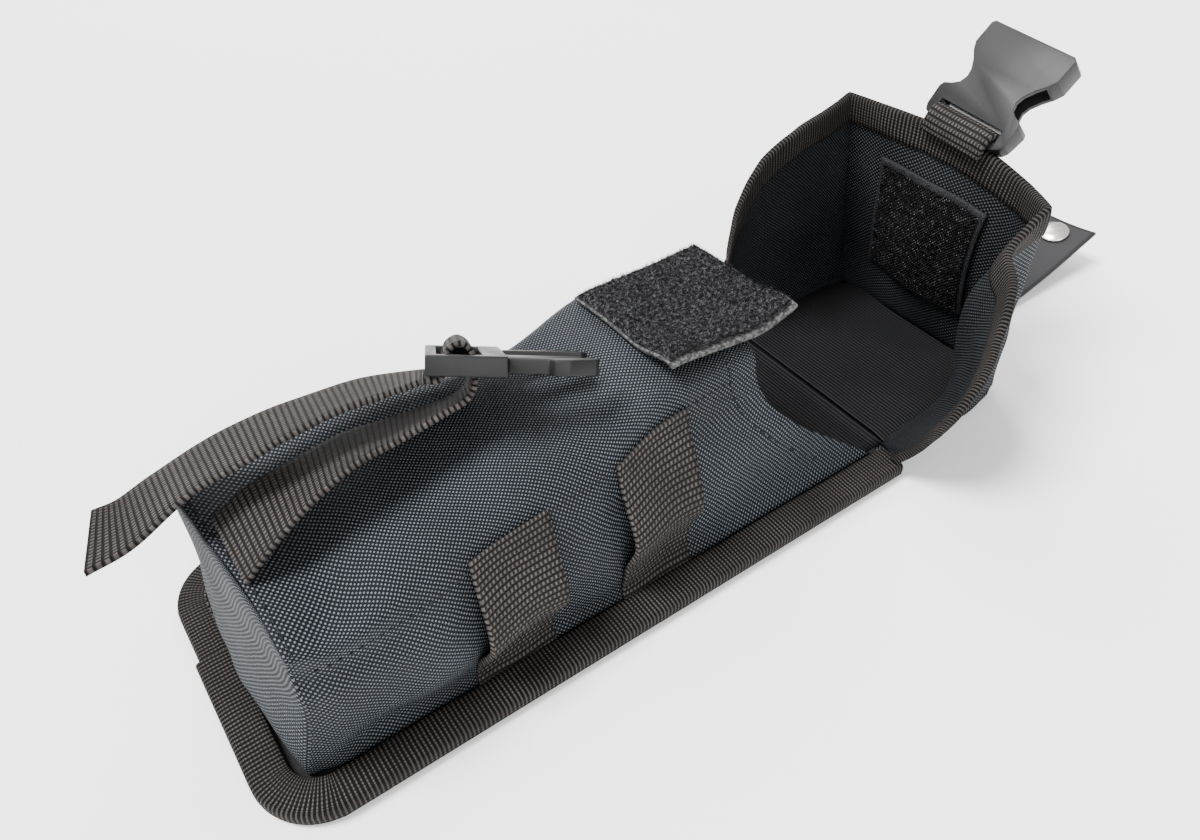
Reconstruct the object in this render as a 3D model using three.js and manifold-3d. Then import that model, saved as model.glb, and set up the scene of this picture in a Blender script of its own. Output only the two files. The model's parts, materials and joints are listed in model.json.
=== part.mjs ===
// A soft saddle bag lying open on its back: a flat bound back panel, a boxed
// pocket, a boxed lid that folds over its mouth, a two-part side-release buckle
// on webbing and a long mounting strap with a snap fastener.
// Millimetres. Origin: middle of the back panel's resting face.
// +X runs from the bottom end to the lid, +Y to the far side, +Z out of the back.
import * as THREE from 'three';
import { mergeVertices } from 'three/addons/utils/BufferGeometryUtils.js';
import Module from 'manifold-3d';

const wasm = await Module();
wasm.setup();

// ---- Driving dimensions -------------------------------------------------
const GAP = 0.3; // between pieces that touch
const RAD = Math.PI / 180;

// Back panel
const BACK_LENGTH = 218;
const BACK_WIDTH = 98;
const BACK_CORNER = 18;
const FABRIC = 1.2; // coated pocket and lid cloth
const BOARD = 2.0; // stiffener in the back panel and the lid
const LINING = 0.7;
const TAPE = 1.0; // binding tape, folded over every free edge
const TAPE_LEG = 10; // how far the binding covers each face

// Pocket
const RIDGE_HEIGHT = 52; // seam between the end face and the front panel
const RIDGE_SETBACK = 17.5; // from the bottom edge of the back panel to the ridge
const MOUTH_HEIGHT = 64;
const MOUTH_TOP_SETBACK = 51; // from the lid end to the top edge of the mouth
const MOUTH_BASE_SETBACK = 3.5;
const MOUTH_NEAR_HALF = 25;
const MOUTH_FAR_HALF = 31;
const END_BULGE = 6;
const PANEL_SAG = 3; // dip of the front panel behind the ridge
const PANEL_CROWN = 3;

// Webbing
const WEB_WIDTH = 25;
const WEB = 1.5;
const LOOP_STARTS = [-48.6, 0.4];
const LOOP_LEAN = 6; // the top of a loop is sewn this much nearer the lid
const LOOP_RISE = 8.5;
const LOOP_FOOT = 0.05; // share of the side wall's height below the loop
const LOOP_TOP = 0.88;

// Closure tab on the front panel
const TAB_WIDTH = 50;
const TAB_SEWN = 27;
const TAB_FREE = 20;
const TAB_THICKNESS = 2.6;

// Lid
const LID_DEPTH = 68.5; // inside, from the fold to the front wall
const LID_WIDTH = 88;
const LID_WALL = 81.4;
const LID_LEAN = 10.5; // degrees that the front wall leans in when the lid is open
const LID_CHEEK_START = 3.9; // from the fold to the cheeks
const CHEEK_EDGE = 42; // height of the cheeks' upright edge
const NEAR_SPLAY = 21;
const FAR_SPLAY = 2;
const CHEEK_TAPE_LEG = 8;
const PATCH_WIDTH = 50;
const PATCH_HEIGHT = 45;
const PATCH_BASE = 19;
const PATCH_THICKNESS = 1.6;

// Side-release buckle, for WEB_WIDTH webbing
const BUCKLE_WIDTH = WEB_WIDTH + 9;
const FRAME_THICKNESS = 5.5;
const BAR = 3.0;
const SLOT = 4.4;
const SIDE_RAIL = 3.6;
const FRAME_SHOULDER = 6.3; // solid end of the frame that carries the prongs
const PRONG_LENGTH = 25;
const PRONG_THICKNESS = 4.4;
const SOCKET_LENGTH = 35.5;
const SOCKET_THICKNESS = 9;
const SOCKET_ROOT = 5; // thickness of the female half at its webbing bar
const SOCKET_WALL = 1.6;
const SOCKET_BAR = 2.6;
const SOCKET_SLOT = 4.0;
const SOCKET_FREE = 3.4; // webbing between the lid's rim and the bar
const WAIST_HALF = 10.5;
const SOCKET_OUT = 1.8; // from the lid's front panel to the webbing where it leaves the rim
const SOCKET_OVER = 0.8; // above the rim binding
const SOCKET_AIM = [-6.6, 44.5, -4]; // degrees: yaw, rise above level, roll

// Front strap: the male half lies on the pocket, turned and rolled
const LATCH_PLACE = [-18.8, 11.8, 18.8]; // height above the ridge seam
const LATCH_AIM = [-27.8, -8, 33.7]; // degrees: yaw, rise, roll (near edge up)

// Mounting strap and its snap fastener
const MOUNT_WIDTH = 27;
const MOUNT_THICKNESS = 1.0;
const MOUNT_END = 272;
const MOUNT_LIFT = 13;
const MOUNT_LIFT_START = 195;
const MOUNT_DRIFT = 5; // sideways, towards the far side
const SNAP_RADIUS = 6;
const SNAP_FROM_END = 7.5;
const POST_RADIUS = 1.6;
const STUD_PLACE = -44;

// ---- Places worked out from them -----------------------------------------
const BOTTOM_X = -BACK_LENGTH / 2;
const LID_X = BACK_LENGTH / 2;
const FOLD_X = LID_X + GAP;
const BACK_HALF = BACK_WIDTH / 2;
const BOARD_Z = FABRIC + GAP;
const BOARD_TOP = BOARD_Z + BOARD;
const BACK_TOP = BOARD_TOP + GAP;
const TAPE_TOP = BACK_TOP + TAPE;
const TAPE_INNER_X = BOTTOM_X + TAPE_LEG;
const POCKET_HALF = BACK_HALF - TAPE_LEG - GAP;
const RIDGE_X = BOTTOM_X + RIDGE_SETBACK;
const MOUTH_X = LID_X - MOUTH_TOP_SETBACK;
const BASE_START_X = TAPE_INNER_X + GAP;
const BASE_END_X = LID_X - MOUTH_BASE_SETBACK;
const POCKET_Z = BACK_TOP + 2 * GAP; // the pocket's walls stand here
const CORNER_CLEAR = 6; // keeps the pocket's square corners off the round binding
const SIDE_STEPS = 6;
const END_STEPS = 20;
const FOLD_Z = BACK_TOP / 2 + 0.5;
const LID_PANEL_Z = MOUNT_THICKNESS + 0.5;
const LID_HALF = LID_WIDTH / 2;
const WALL_X = FOLD_X + LID_DEPTH + FABRIC / 2;
const WALL_Z = FOLD_Z;
const CHEEK_X = FOLD_X + LID_CHEEK_START + TAPE + GAP;
const CHEEK_STEPS = 14;

// ---- Helpers ---------------------------------------------------------------
const materials = {
  cloth: new THREE.MeshStandardMaterial({ color: 0x39434d, roughness: 0.85 }),
  lining: new THREE.MeshStandardMaterial({ color: 0x17181a, roughness: 0.7 }),
  tape: new THREE.MeshStandardMaterial({ color: 0x2a2625, roughness: 0.9 }),
  webbing: new THREE.MeshStandardMaterial({ color: 0x353130, roughness: 0.9 }),
  pile: new THREE.MeshStandardMaterial({ color: 0x26272a, roughness: 1.0 }),
  hooks: new THREE.MeshStandardMaterial({ color: 0x1a1a1c, roughness: 0.9 }),
  board: new THREE.MeshStandardMaterial({ color: 0x4a4a48, roughness: 0.8 }),
  plastic: new THREE.MeshStandardMaterial({ color: 0x424346, roughness: 0.5 }),
  coated: new THREE.MeshStandardMaterial({ color: 0x34343a, roughness: 0.45 }),
  metal: new THREE.MeshStandardMaterial({ color: 0xd9d6cc, roughness: 0.25, metalness: 1.0 }),
};

const model = new THREE.Group();

function add(name, geometry, material, parent = model) {
  const mesh = new THREE.Mesh(geometry, materials[material]);
  mesh.name = name;
  parent.add(mesh);
  return mesh;
}

const mix = (a, b, t) => a + (b - a) * t;
const smooth = (t) => THREE.MathUtils.smoothstep(t, 0, 1);

// A closed mesh as a solid, for joins and cuts.
function toSolid(geometry) {
  const bare = geometry.clone();
  bare.deleteAttribute('normal');
  bare.deleteAttribute('uv');
  const merged = mergeVertices(bare, 1e-4);
  return new wasm.Manifold(new wasm.Mesh({
    numProp: 3,
    vertProperties: new Float32Array(merged.attributes.position.array),
    triVerts: new Uint32Array(merged.index.array),
  }));
}

function toGeometry(solid) {
  const mesh = solid.getMesh();
  const geometry = new THREE.BufferGeometry();
  geometry.setAttribute('position', new THREE.BufferAttribute(mesh.vertProperties, 3));
  geometry.setIndex(new THREE.BufferAttribute(mesh.triVerts, 1));
  geometry.computeVertexNormals();
  return geometry;
}

function cut(base, ...tools) {
  const solid = tools.reduce((rest, tool) => rest.subtract(toSolid(tool)), toSolid(base));
  return toGeometry(solid);
}

function join(...parts) {
  const [first, ...others] = parts.map(toSolid);
  return toGeometry(others.reduce((sum, part) => sum.add(part), first));
}

function block(x0, x1, y0, y1, z0, z1) {
  const box = new THREE.BoxGeometry(x1 - x0, y1 - y0, z1 - z0);
  return box.translate((x0 + x1) / 2, (y0 + y1) / 2, (z0 + z1) / 2);
}

function plate(outline, z0, z1) {
  const options = { depth: z1 - z0, bevelEnabled: false, curveSegments: 8 };
  return new THREE.ExtrudeGeometry(outline, options).translate(0, 0, z0);
}

// The direction that a surface faces: du x dv.
function facing(surface, u, v) {
  const step = 0.002;
  const du = surface(Math.min(u + step, 1), v).sub(surface(Math.max(u - step, 0), v));
  const dv = surface(u, Math.min(v + step, 1)).sub(surface(u, Math.max(v - step, 0)));
  return du.cross(dv).normalize();
}

// A wall of even thickness under the surface that surface(u, v) describes.
// lift moves the whole wall outwards.
function sheet(along, across, thickness, surface, lift = 0, outwardAt = facing) {
  const geometry = new THREE.BoxGeometry(1, 1, 1, along, across, 1);
  const places = geometry.attributes.position;
  for (let i = 0; i < places.count; i += 1) {
    const u = places.getX(i) + 0.5;
    const v = places.getY(i) + 0.5;
    const outward = outwardAt(surface, u, v);
    const depth = places.getZ(i) > 0 ? lift : lift - thickness;
    const place = surface(u, v).addScaledVector(outward, depth);
    places.setXYZ(i, place.x, place.y, place.z);
  }
  geometry.computeVertexNormals();
  return geometry;
}

// A section swept through frames: frameAt(u) gives a point and the directions
// of the section's own x and y.
function sweep(section, steps, frameAt) {
  const options = { depth: 1, steps, bevelEnabled: false, curveSegments: 4 };
  const geometry = new THREE.ExtrudeGeometry(section, options);
  const places = geometry.attributes.position;
  for (let i = 0; i < places.count; i += 1) {
    const { point, right, up } = frameAt(places.getZ(i));
    const place = point.clone();
    place.addScaledVector(right, places.getX(i));
    place.addScaledVector(up, places.getY(i));
    places.setXYZ(i, place.x, place.y, place.z);
  }
  geometry.computeVertexNormals();
  return geometry;
}

// Section of a folded tape: it wraps an edge at x = 0 of a wall around y = 0.
function foldedTape(wall, leg) {
  const inner = wall / 2 + GAP;
  const outer = inner + TAPE;
  const shape = new THREE.Shape();
  shape.moveTo(leg, inner);
  shape.lineTo(leg, outer);
  shape.lineTo(-GAP - TAPE, outer);
  shape.lineTo(-GAP - TAPE, -outer);
  shape.lineTo(leg, -outer);
  shape.lineTo(leg, -inner);
  shape.lineTo(-GAP, -inner);
  shape.lineTo(-GAP, inner);
  shape.closePath();
  return shape;
}

// The direction across a webbing that heads off at yaw and rolls its near edge up.
function acrossAt(yaw, roll) {
  const level = new THREE.Vector3(0, Math.cos(roll * RAD), -Math.sin(roll * RAD));
  return level.applyAxisAngle(new THREE.Vector3(0, 0, 1), yaw * RAD);
}

// A flat webbing along a curve. Each stop has its middle and the direction across.
function ribbon(stops, steps) {
  const curve = new THREE.CatmullRomCurve3(stops.map((stop) => stop.middle));
  const surface = (u, v) => {
    const scaled = Math.min(u, 0.9999) * (stops.length - 1);
    const index = Math.floor(scaled);
    const across = stops[index].across.clone().lerp(stops[index + 1].across, scaled - index);
    return curve.getPoint(u).addScaledVector(across.normalize(), (v - 0.5) * WEB_WIDTH);
  };
  return sheet(steps, 1, WEB, surface, WEB / 2);
}

function stop(x, y, z, yaw, roll) {
  return { middle: new THREE.Vector3(x, y, z), across: acrossAt(yaw, roll) };
}

// A group turned by [yaw, rise, roll] degrees, rise lifting its +X end.
function aim(group, [yaw, rise, roll]) {
  group.rotation.set(-roll * RAD, -rise * RAD, yaw * RAD, 'ZYX');
}

// ---- Back panel ------------------------------------------------------------
// Long outline with two round bottom corners and a square lid end.
function backOutline(inset, endX = LID_X - GAP) {
  const half = BACK_HALF - inset;
  const left = BOTTOM_X + inset;
  const radius = Math.max(BACK_CORNER - inset, 2);
  const shape = new THREE.Shape();
  shape.moveTo(endX, -half);
  shape.lineTo(left + radius, -half);
  shape.absarc(left + radius, -half + radius, radius, -Math.PI / 2, -Math.PI, true);
  shape.lineTo(left, half - radius);
  shape.absarc(left + radius, half - radius, radius, Math.PI, Math.PI / 2, true);
  shape.lineTo(endX, half);
  shape.closePath();
  return shape;
}

function buildBack() {
  const panelInset = TAPE_LEG + GAP;
  const panel = plate(backOutline(panelInset), 0, FABRIC);
  const recess = new THREE.CylinderGeometry(SNAP_RADIUS, SNAP_RADIUS, 4 * FABRIC, 24);
  recess.rotateX(Math.PI / 2).translate(STUD_PLACE, 0, 0);
  add('back_panel', cut(panel, recess), 'cloth');

  add('back_stiffener', plate(backOutline(TAPE + GAP), BOARD_Z, BOARD_TOP), 'board');

  const liningInset = BACK_HALF - POCKET_HALF + 2 * (FABRIC + GAP);
  add('back_lining', plate(backOutline(liningInset), BACK_TOP, BACK_TOP + LINING), 'lining');

  const beyond = LID_X + 10;
  const binding = cut(
    plate(backOutline(0), 0, TAPE_TOP),
    plate(backOutline(TAPE, beyond), TAPE, BACK_TOP),
    plate(backOutline(TAPE_LEG, beyond), -1, TAPE_TOP + 1),
  );
  add('back_binding', binding, 'tape');

  // Snap stud sunk into the back panel, flush with the resting face.
  const stud = [[0, 0.3], [3, 0.3], [3, 1.0], [SNAP_RADIUS - GAP, 1.0]];
  const profile = [...stud, [SNAP_RADIUS - GAP, FABRIC], [0, FABRIC]];
  const points = profile.map(([r, z]) => new THREE.Vector2(r, z));
  const geometry = new THREE.LatheGeometry(points, 24);
  geometry.rotateX(Math.PI / 2).translate(STUD_PLACE, 0, 0);
  add('snap_stud', geometry, 'metal');
}

// ---- Pocket ----------------------------------------------------------------
// Edge of the front panel on one side (-1 near, +1 far), u = 0 ridge, u = 1 mouth.
function shoulder(side, u) {
  const mouthHalf = side < 0 ? MOUTH_NEAR_HALF : MOUTH_FAR_HALF;
  const half = mix(POCKET_HALF, mouthHalf, smooth(Math.min(u / 0.55, 1)));
  const drop = PANEL_SAG * Math.sin(Math.PI * Math.min(u / 0.6, 1));
  const rise = (MOUTH_HEIGHT - RIDGE_HEIGHT - 2) * smooth(Math.max((u - 0.64) / 0.36, 0));
  return new THREE.Vector3(mix(RIDGE_X, MOUTH_X, u), side * half, RIDGE_HEIGHT - drop + rise);
}

function frontSurface(u, v) {
  const place = shoulder(-1, u).lerp(shoulder(1, u), v);
  const crown = PANEL_CROWN * smooth(Math.min(u / 0.5, 1));
  place.z += mix(crown, 2, Math.max(u - 0.7, 0) / 0.3) * (1 - (2 * v - 1) ** 2);
  return place;
}

// Side wall, u along the bag and v up from the base.
function sideSurface(side, u, v) {
  const start = BASE_START_X + FABRIC + GAP + CORNER_CLEAR * Math.max(1 - v * SIDE_STEPS, 0);
  const base = new THREE.Vector3(mix(start, BASE_END_X, u), side * POCKET_HALF, POCKET_Z);
  const top = shoulder(side, u);
  top.x = mix(RIDGE_X + FABRIC + 2 * GAP, MOUTH_X, u);
  top.z -= FABRIC + 2 * GAP;
  top.y -= side * GAP;
  return base.lerp(top, v);
}

// End wall, u up and v across. It swells out over the binding.
function endSurface(u, v) {
  const z = mix(POCKET_Z, RIDGE_HEIGHT - FABRIC - 2 * GAP, u);
  const swell = Math.max(u - 1 / END_STEPS, 0) / (1 - 1 / END_STEPS);
  const across = Math.sin(Math.PI * mix(0.02, 0.98, v));
  const bulge = END_BULGE * Math.sin(Math.PI * swell ** 0.7) * Math.sqrt(across);
  const half = POCKET_HALF - (CORNER_CLEAR + 1) * Math.max(1 - u * END_STEPS, 0);
  return new THREE.Vector3(mix(BASE_START_X, RIDGE_X, u) - bulge, mix(-half, half, v), z);
}

function buildPocket() {
  add('front_panel', sheet(10, 6, FABRIC, frontSurface), 'cloth');
  add('near_gusset', sheet(10, SIDE_STEPS, FABRIC, (u, v) => sideSurface(-1, u, v)), 'cloth');
  add('far_gusset', sheet(10, SIDE_STEPS, FABRIC, (u, v) => sideSurface(1, 1 - u, v)), 'cloth');
  add('bottom_gusset', sheet(END_STEPS, 6, FABRIC, endSurface), 'cloth');
}

// Webbing loops arched over the near side wall.
function buildLoops() {
  LOOP_STARTS.forEach((start, index) => {
    const surface = (u, v) => {
      const height = mix(LOOP_FOOT, LOOP_TOP, v);
      const x = start + u * WEB_WIDTH + LOOP_LEAN * v;
      const baseStart = sideSurface(-1, 0, height).x;
      const along = (x - baseStart) / (sideSurface(-1, 1, height).x - baseStart);
      const place = sideSurface(-1, along, height);
      const rise = GAP + WEB + LOOP_RISE * Math.sin(Math.PI * v);
      return place.add(new THREE.Vector3(0, -rise, 0.35 * rise));
    };
    add(`webbing_loop_${index + 1}`, sheet(1, 10, WEB, surface), 'webbing');
  });
}

// Loop-pile tab: sewn to the front panel at the mouth, with a free flap.
function tabSurface(x0, x1, lift, u, v) {
  const x = mix(x0, x1, u);
  const along = Math.min((x - RIDGE_X) / (MOUTH_X - RIDGE_X), 1);
  const y = mix(-TAB_WIDTH / 2, TAB_WIDTH / 2, v);
  const near = shoulder(-1, along).y;
  const far = shoulder(1, along).y;
  const place = frontSurface(along, (y - near) / (far - near));
  const past = Math.max(x - MOUTH_X, 0) / TAB_FREE;
  return new THREE.Vector3(x, y, place.z + lift + 1.2 * past);
}

function buildTab() {
  const top = TAB_THICKNESS + GAP;
  const sewn = (u, v) => tabSurface(MOUTH_X - TAB_SEWN, MOUTH_X - GAP, top, u, v);
  const free = (u, v) => tabSurface(MOUTH_X + GAP, MOUTH_X + TAB_FREE, top, u, v);
  add('closure_tab', sheet(4, 6, TAB_THICKNESS, sewn), 'pile');
  add('closure_tab_flap', sheet(3, 6, TAB_THICKNESS, free), 'pile');
}

// ---- Lid -------------------------------------------------------------------
// The front wall and what is sewn to it lean in about the foot of the wall.
const lidFront = new THREE.Group();
lidFront.position.set(WALL_X, 0, WALL_Z);
lidFront.rotation.y = -LID_LEAN * RAD;
model.add(lidFront);

// How far out a cheek stands at x, z. It splays most at the top, by the fold.
function cheekReach(side, x, z) {
  const along = THREE.MathUtils.clamp((x - CHEEK_X) / (cheekFront(z) - CHEEK_X), 0, 1);
  const splay = side < 0 ? NEAR_SPLAY : FAR_SPLAY;
  return LID_HALF + splay * (1 - along) ** 1.2 * (Math.max(z, 0) / LID_WALL) ** 0.8;
}

function cheekFront(z) {
  return WALL_X - FABRIC - (z - WALL_Z) * Math.tan(LID_LEAN * RAD);
}

function cheekOutward(side, place) {
  const step = 0.5;
  const { x, z } = place;
  const slopeX = (cheekReach(side, x + step, z) - cheekReach(side, x - step, z)) / (2 * step);
  const slopeZ = (cheekReach(side, x, z + step) - cheekReach(side, x, z - step)) / (2 * step);
  return new THREE.Vector3(-slopeX, side, -slopeZ).normalize();
}

// u = 0 is the upright edge by the fold, u = 1 the front; v runs up.
function cheekSurface(side, u, v) {
  const turn = u * Math.PI / 2;
  const rim = mix(CHEEK_EDGE, LID_WALL, Math.sin(turn));
  const z = mix(LID_PANEL_Z, rim, v);
  const x = mix(CHEEK_X, cheekFront(z), 1 - Math.cos(turn));
  return new THREE.Vector3(x, side * cheekReach(side, x, z), z);
}

// The cheek's free edge: up the edge by the fold, then along the rim.
function cheekEdge(side, t) {
  const upright = 0.4;
  const pointAt = (at) => {
    const u = Math.max((at - upright) / (1 - upright), 0);
    return cheekSurface(side, u, Math.min(mix(2 / CHEEK_STEPS, 1, at / upright), 1));
  };
  const step = 0.004;
  const ahead = pointAt(Math.min(t + step, 1)).sub(pointAt(Math.max(t - step, 0))).normalize();
  const point = pointAt(t);
  const outward = cheekOutward(side, point);
  point.addScaledVector(outward, -FABRIC / 2);
  const inward = new THREE.Vector3().crossVectors(ahead, outward).multiplyScalar(-side).normalize();
  return { point, right: inward, up: new THREE.Vector3().crossVectors(ahead, inward) };
}

function buildCheek(side, name) {
  const wall = (u, v) => cheekSurface(side, side < 0 ? u : 1 - u, v);
  const outwardAt = (surface, u, v) => cheekOutward(side, surface(u, v));
  add(`${name}_cheek`, sheet(9, CHEEK_STEPS, FABRIC, wall, 0, outwardAt), 'cloth');
  const section = foldedTape(FABRIC + 5 * GAP, CHEEK_TAPE_LEG);
  add(`${name}_cheek_binding`, sweep(section, 15, (t) => cheekEdge(side, t)), 'tape');
}

function buildLid() {
  const half = LID_HALF - FABRIC - GAP;
  const end = WALL_X - FABRIC / 2 - 2 * GAP - 0.3;
  const boardX = FOLD_X + 3;
  const boardZ = LID_PANEL_Z + FABRIC + GAP;
  const boardTop = boardZ + BOARD / 2;
  add('lid_panel', block(FOLD_X + 0.5, end, -half, half, LID_PANEL_Z, LID_PANEL_Z + FABRIC), 'cloth');
  add('lid_stiffener', block(boardX, end, -half, half, boardZ, boardTop), 'board');
  const liningZ = boardTop + GAP;
  add('lid_lining', block(boardX, end, -half, half, liningZ, liningZ + LINING), 'lining');
  buildCheek(-1, 'near');
  buildCheek(1, 'far');
}

function buildLidFront() {
  const half = LID_HALF - FABRIC - 3 * GAP - TAPE - 1;
  const wall = block(-FABRIC / 2, FABRIC / 2, -half, half, 1, LID_WALL);
  add('lid_front_panel', wall, 'cloth', lidFront);

  const section = foldedTape(FABRIC, TAPE_LEG);
  const binding = sweep(section, 1, (t) => ({
    point: new THREE.Vector3(0, mix(half, -half, t), LID_WALL),
    right: new THREE.Vector3(0, 0, -1),
    up: new THREE.Vector3(1, 0, 0),
  }));
  add('lid_rim_binding', binding, 'tape', lidFront);

  const face = -FABRIC / 2 - GAP;
  const patch = block(face - PATCH_THICKNESS, face, -PATCH_WIDTH / 2, PATCH_WIDTH / 2,
    PATCH_BASE, PATCH_BASE + PATCH_HEIGHT);
  add('hook_patch', patch, 'hooks', lidFront);

  // Webbing sewn flat on the outside of the wall, under the buckle.
  const outside = FABRIC / 2 + 2 * GAP + TAPE;
  const sewn = block(outside, outside + WEB, -WEB_WIDTH / 2, WEB_WIDTH / 2,
    LID_WALL - 32, LID_WALL - 1.5);
  add('lid_webbing', sewn, 'webbing', lidFront);
}

// ---- Female half of the buckle ----------------------------------------------
// Local frame: x from the webbing bar to the mouth, y across, z out of its face.
const socket = new THREE.Group();
socket.position.set(SOCKET_OUT, 0, LID_WALL + TAPE + SOCKET_OVER);
aim(socket, SOCKET_AIM);
socket.quaternion.premultiply(lidFront.quaternion.clone().invert());
lidFront.add(socket);

function socketOutline() {
  const half = BUCKLE_WIDTH / 2;
  const length = SOCKET_LENGTH;
  const shape = new THREE.Shape();
  const edge = (side) => [
    [0, half - 3.5], [1.2, half - 1], [3, half], [9.5, half], [11, half - 0.8],
    [12, half - 3.5], [13.5, WAIST_HALF + 0.8], [16, WAIST_HALF], [18.5, WAIST_HALF + 0.6],
    [21.5, half - 4], [24.5, half - 1.4], [27, half], [length - 1, half], [length, half - 1],
  ].map(([x, y]) => new THREE.Vector2(x, side * y));
  shape.setFromPoints([...edge(-1), ...edge(1).reverse()]);
  shape.closePath();
  return shape;
}

function buildSocket() {
  const half = SOCKET_THICKNESS / 2;
  const inner = half - SOCKET_WALL;
  const mouth = BUCKLE_WIDTH / 2 - 2;
  const slotHalf = WEB_WIDTH / 2 + 0.7;
  const slotEnd = SOCKET_BAR + SOCKET_SLOT;
  const body = cut(
    plate(socketOutline(), -half, half),
    block(12.5, SOCKET_LENGTH + 1, -mouth, mouth, -inner, inner),
    block(SOCKET_BAR, slotEnd, -slotHalf, slotHalf, -half - 1, half + 1),
  );
  const places = body.attributes.position;
  for (let i = 0; i < places.count; i += 1) {
    const thin = SOCKET_ROOT / SOCKET_THICKNESS;
    places.setZ(i, places.getZ(i) * mix(thin, 1, smooth(places.getX(i) / 14)));
  }
  body.translate(SOCKET_FREE, 0, 0);
  add('female_buckle', body, 'plastic', socket);

  // Webbing folded round the bar and closed towards the lid.
  const near = SOCKET_FREE - GAP;
  const reach = SOCKET_FREE + SOCKET_BAR + GAP;
  const fold = SOCKET_ROOT / 2 + 2 * GAP;
  const outline = (x0, x1, z0, z1, tip) => [
    [x0, -tip], [x0 + 2, -z0], [x1 - 0.6, -z1], [x1, -z1 + 0.6], [x1, z1 - 0.6],
    [x1 - 0.6, z1], [x0 + 2, z0], [x0, tip],
  ].map(([x, z]) => new THREE.Vector2(x, z));
  const shape = new THREE.Shape(outline(1, reach + WEB, fold + WEB - 0.6, fold + WEB, WEB));
  shape.holes.push(new THREE.Path(
    [[near, -fold], [near, fold], [reach, fold], [reach, -fold]].map(([x, z]) => new THREE.Vector2(x, z)),
  ));
  const loop = plate(shape, -WEB_WIDTH / 2, WEB_WIDTH / 2).rotateX(Math.PI / 2);
  add('lid_webbing_loop', loop, 'webbing', socket);
}

// ---- Front strap and male half of the buckle --------------------------------
// Local frame: origin in the centre bar, x to the tips, y across, z out of its face.
const latch = new THREE.Group();
latch.position.set(...LATCH_PLACE);
latch.position.z += RIDGE_HEIGHT;
aim(latch, LATCH_AIM);
model.add(latch);
latch.updateMatrixWorld();

// A webbing stop beside the buckle, from the buckle's own coordinates.
function besideLatch(x, z) {
  const across = new THREE.Vector3(0, 1, 0).applyQuaternion(latch.quaternion);
  return { middle: latch.localToWorld(new THREE.Vector3(x, 0, z)), across };
}

function buildLatch() {
  const half = BUCKLE_WIDTH / 2;
  const deep = FRAME_THICKNESS / 2;
  const slotNear = BAR / 2;
  const slotFar = BAR / 2 + SLOT;
  const rear = -slotFar - BAR;
  const front = slotFar + FRAME_SHOULDER;
  const railed = half - SIDE_RAIL;
  const frame = cut(
    block(rear, front, -half, half, -deep, deep),
    block(slotNear, slotFar, -railed, railed, -deep - 1, deep + 1),
    block(-slotFar, -slotNear, -railed, railed, -deep - 1, deep + 1),
    block(-slotNear - 1, slotNear + 1, -railed, railed, 0.4, deep + 1),
  );
  const guide = block(front - 1, front + PRONG_LENGTH - 3, -2.6, 2.6, -1.6, 1.6);
  add('male_buckle', join(frame, guide), 'plastic', latch);

  // Two spring prongs with barbed heads.
  ['near', 'far'].forEach((name, index) => {
    const side = index === 0 ? -1 : 1;
    const tip = front + PRONG_LENGTH;
    const start = front + GAP;
    const outline = [
      [start, half - 4.5], [tip - 14, half - 3.4], [tip - 13, half - 0.6], [tip - 9, half],
      [tip - 1.5, half - 4], [tip, half - 6.5], [tip - 2, half - 8.5],
      [tip - 12, half - 6.4], [start, half - 7.5],
    ].map(([x, y]) => new THREE.Vector2(x, side * y));
    const shape = new THREE.Shape(outline);
    const prong = plate(shape, -PRONG_THICKNESS / 2, PRONG_THICKNESS / 2);
    add(`${name}_prong`, prong, 'plastic', latch);
  });

  // The strap's turn over the centre bar: up one slot, down the other.
  const wrap = ribbonLocal([
    [3.7, -2.4], [3.7, 1.2], [2.6, 4.2], [0, 5.6], [-2.6, 4.2], [-3.7, 1.2], [-4.0, -2.0],
    [-5.2, -4.0], [-8.6, -4.6],
  ]);
  add('strap_wrap', wrap, 'webbing', latch);
}

// A ribbon in the buckle's own xz plane.
function ribbonLocal(stops) {
  const curve = new THREE.CatmullRomCurve3(stops.map(([x, z]) => new THREE.Vector3(x, 0, z)));
  const surface = (u, v) => {
    const point = curve.getPoint(u);
    point.y = (v - 0.5) * WEB_WIDTH;
    return point;
  };
  return sheet(18, 1, WEB, (u, v) => surface(1 - u, v), WEB / 2);
}

// A webbing stop over the pocket, its height taken from the ridge seam.
function over(x, y, height, yaw, roll) {
  return stop(x, y, RIDGE_HEIGHT + height, yaw, roll);
}

function buildStrap() {
  add('front_strap', ribbon([
    over(RIDGE_X + 0.8, 0, 1.3, 0, 0),
    over(-78.6, 2.4, 6.6, -4, 6),
    over(-56.8, 5.9, 10.0, -9, 15),
    over(-40.9, 6.9, 9.2, -13, 21),
    over(-29.4, 7.2, 9.2, -17, 26),
    over(-20.8, 7.5, 9.8, -20, 30),
    besideLatch(4.0, -5.6),
    besideLatch(3.7, -3.2),
  ], 24), 'webbing');

  add('strap_tail', ribbon([
    over(-117.8, 16.4, 7.2, -13, 10),
    over(-109.5, 18.5, 6.2, -2, 16),
    over(-99.5, 20.8, 8.2, -2, 20),
    over(-89.8, 21.0, 11.4, -4, 19),
    over(-77, 18.8, 15.4, -8, 22),
    over(-64.2, 17.6, 17.8, -10, 25),
    over(-46.6, 15.8, 18.6, -15, 27),
    besideLatch(-9.6, -4.6),
  ], 24), 'webbing');
}

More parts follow.
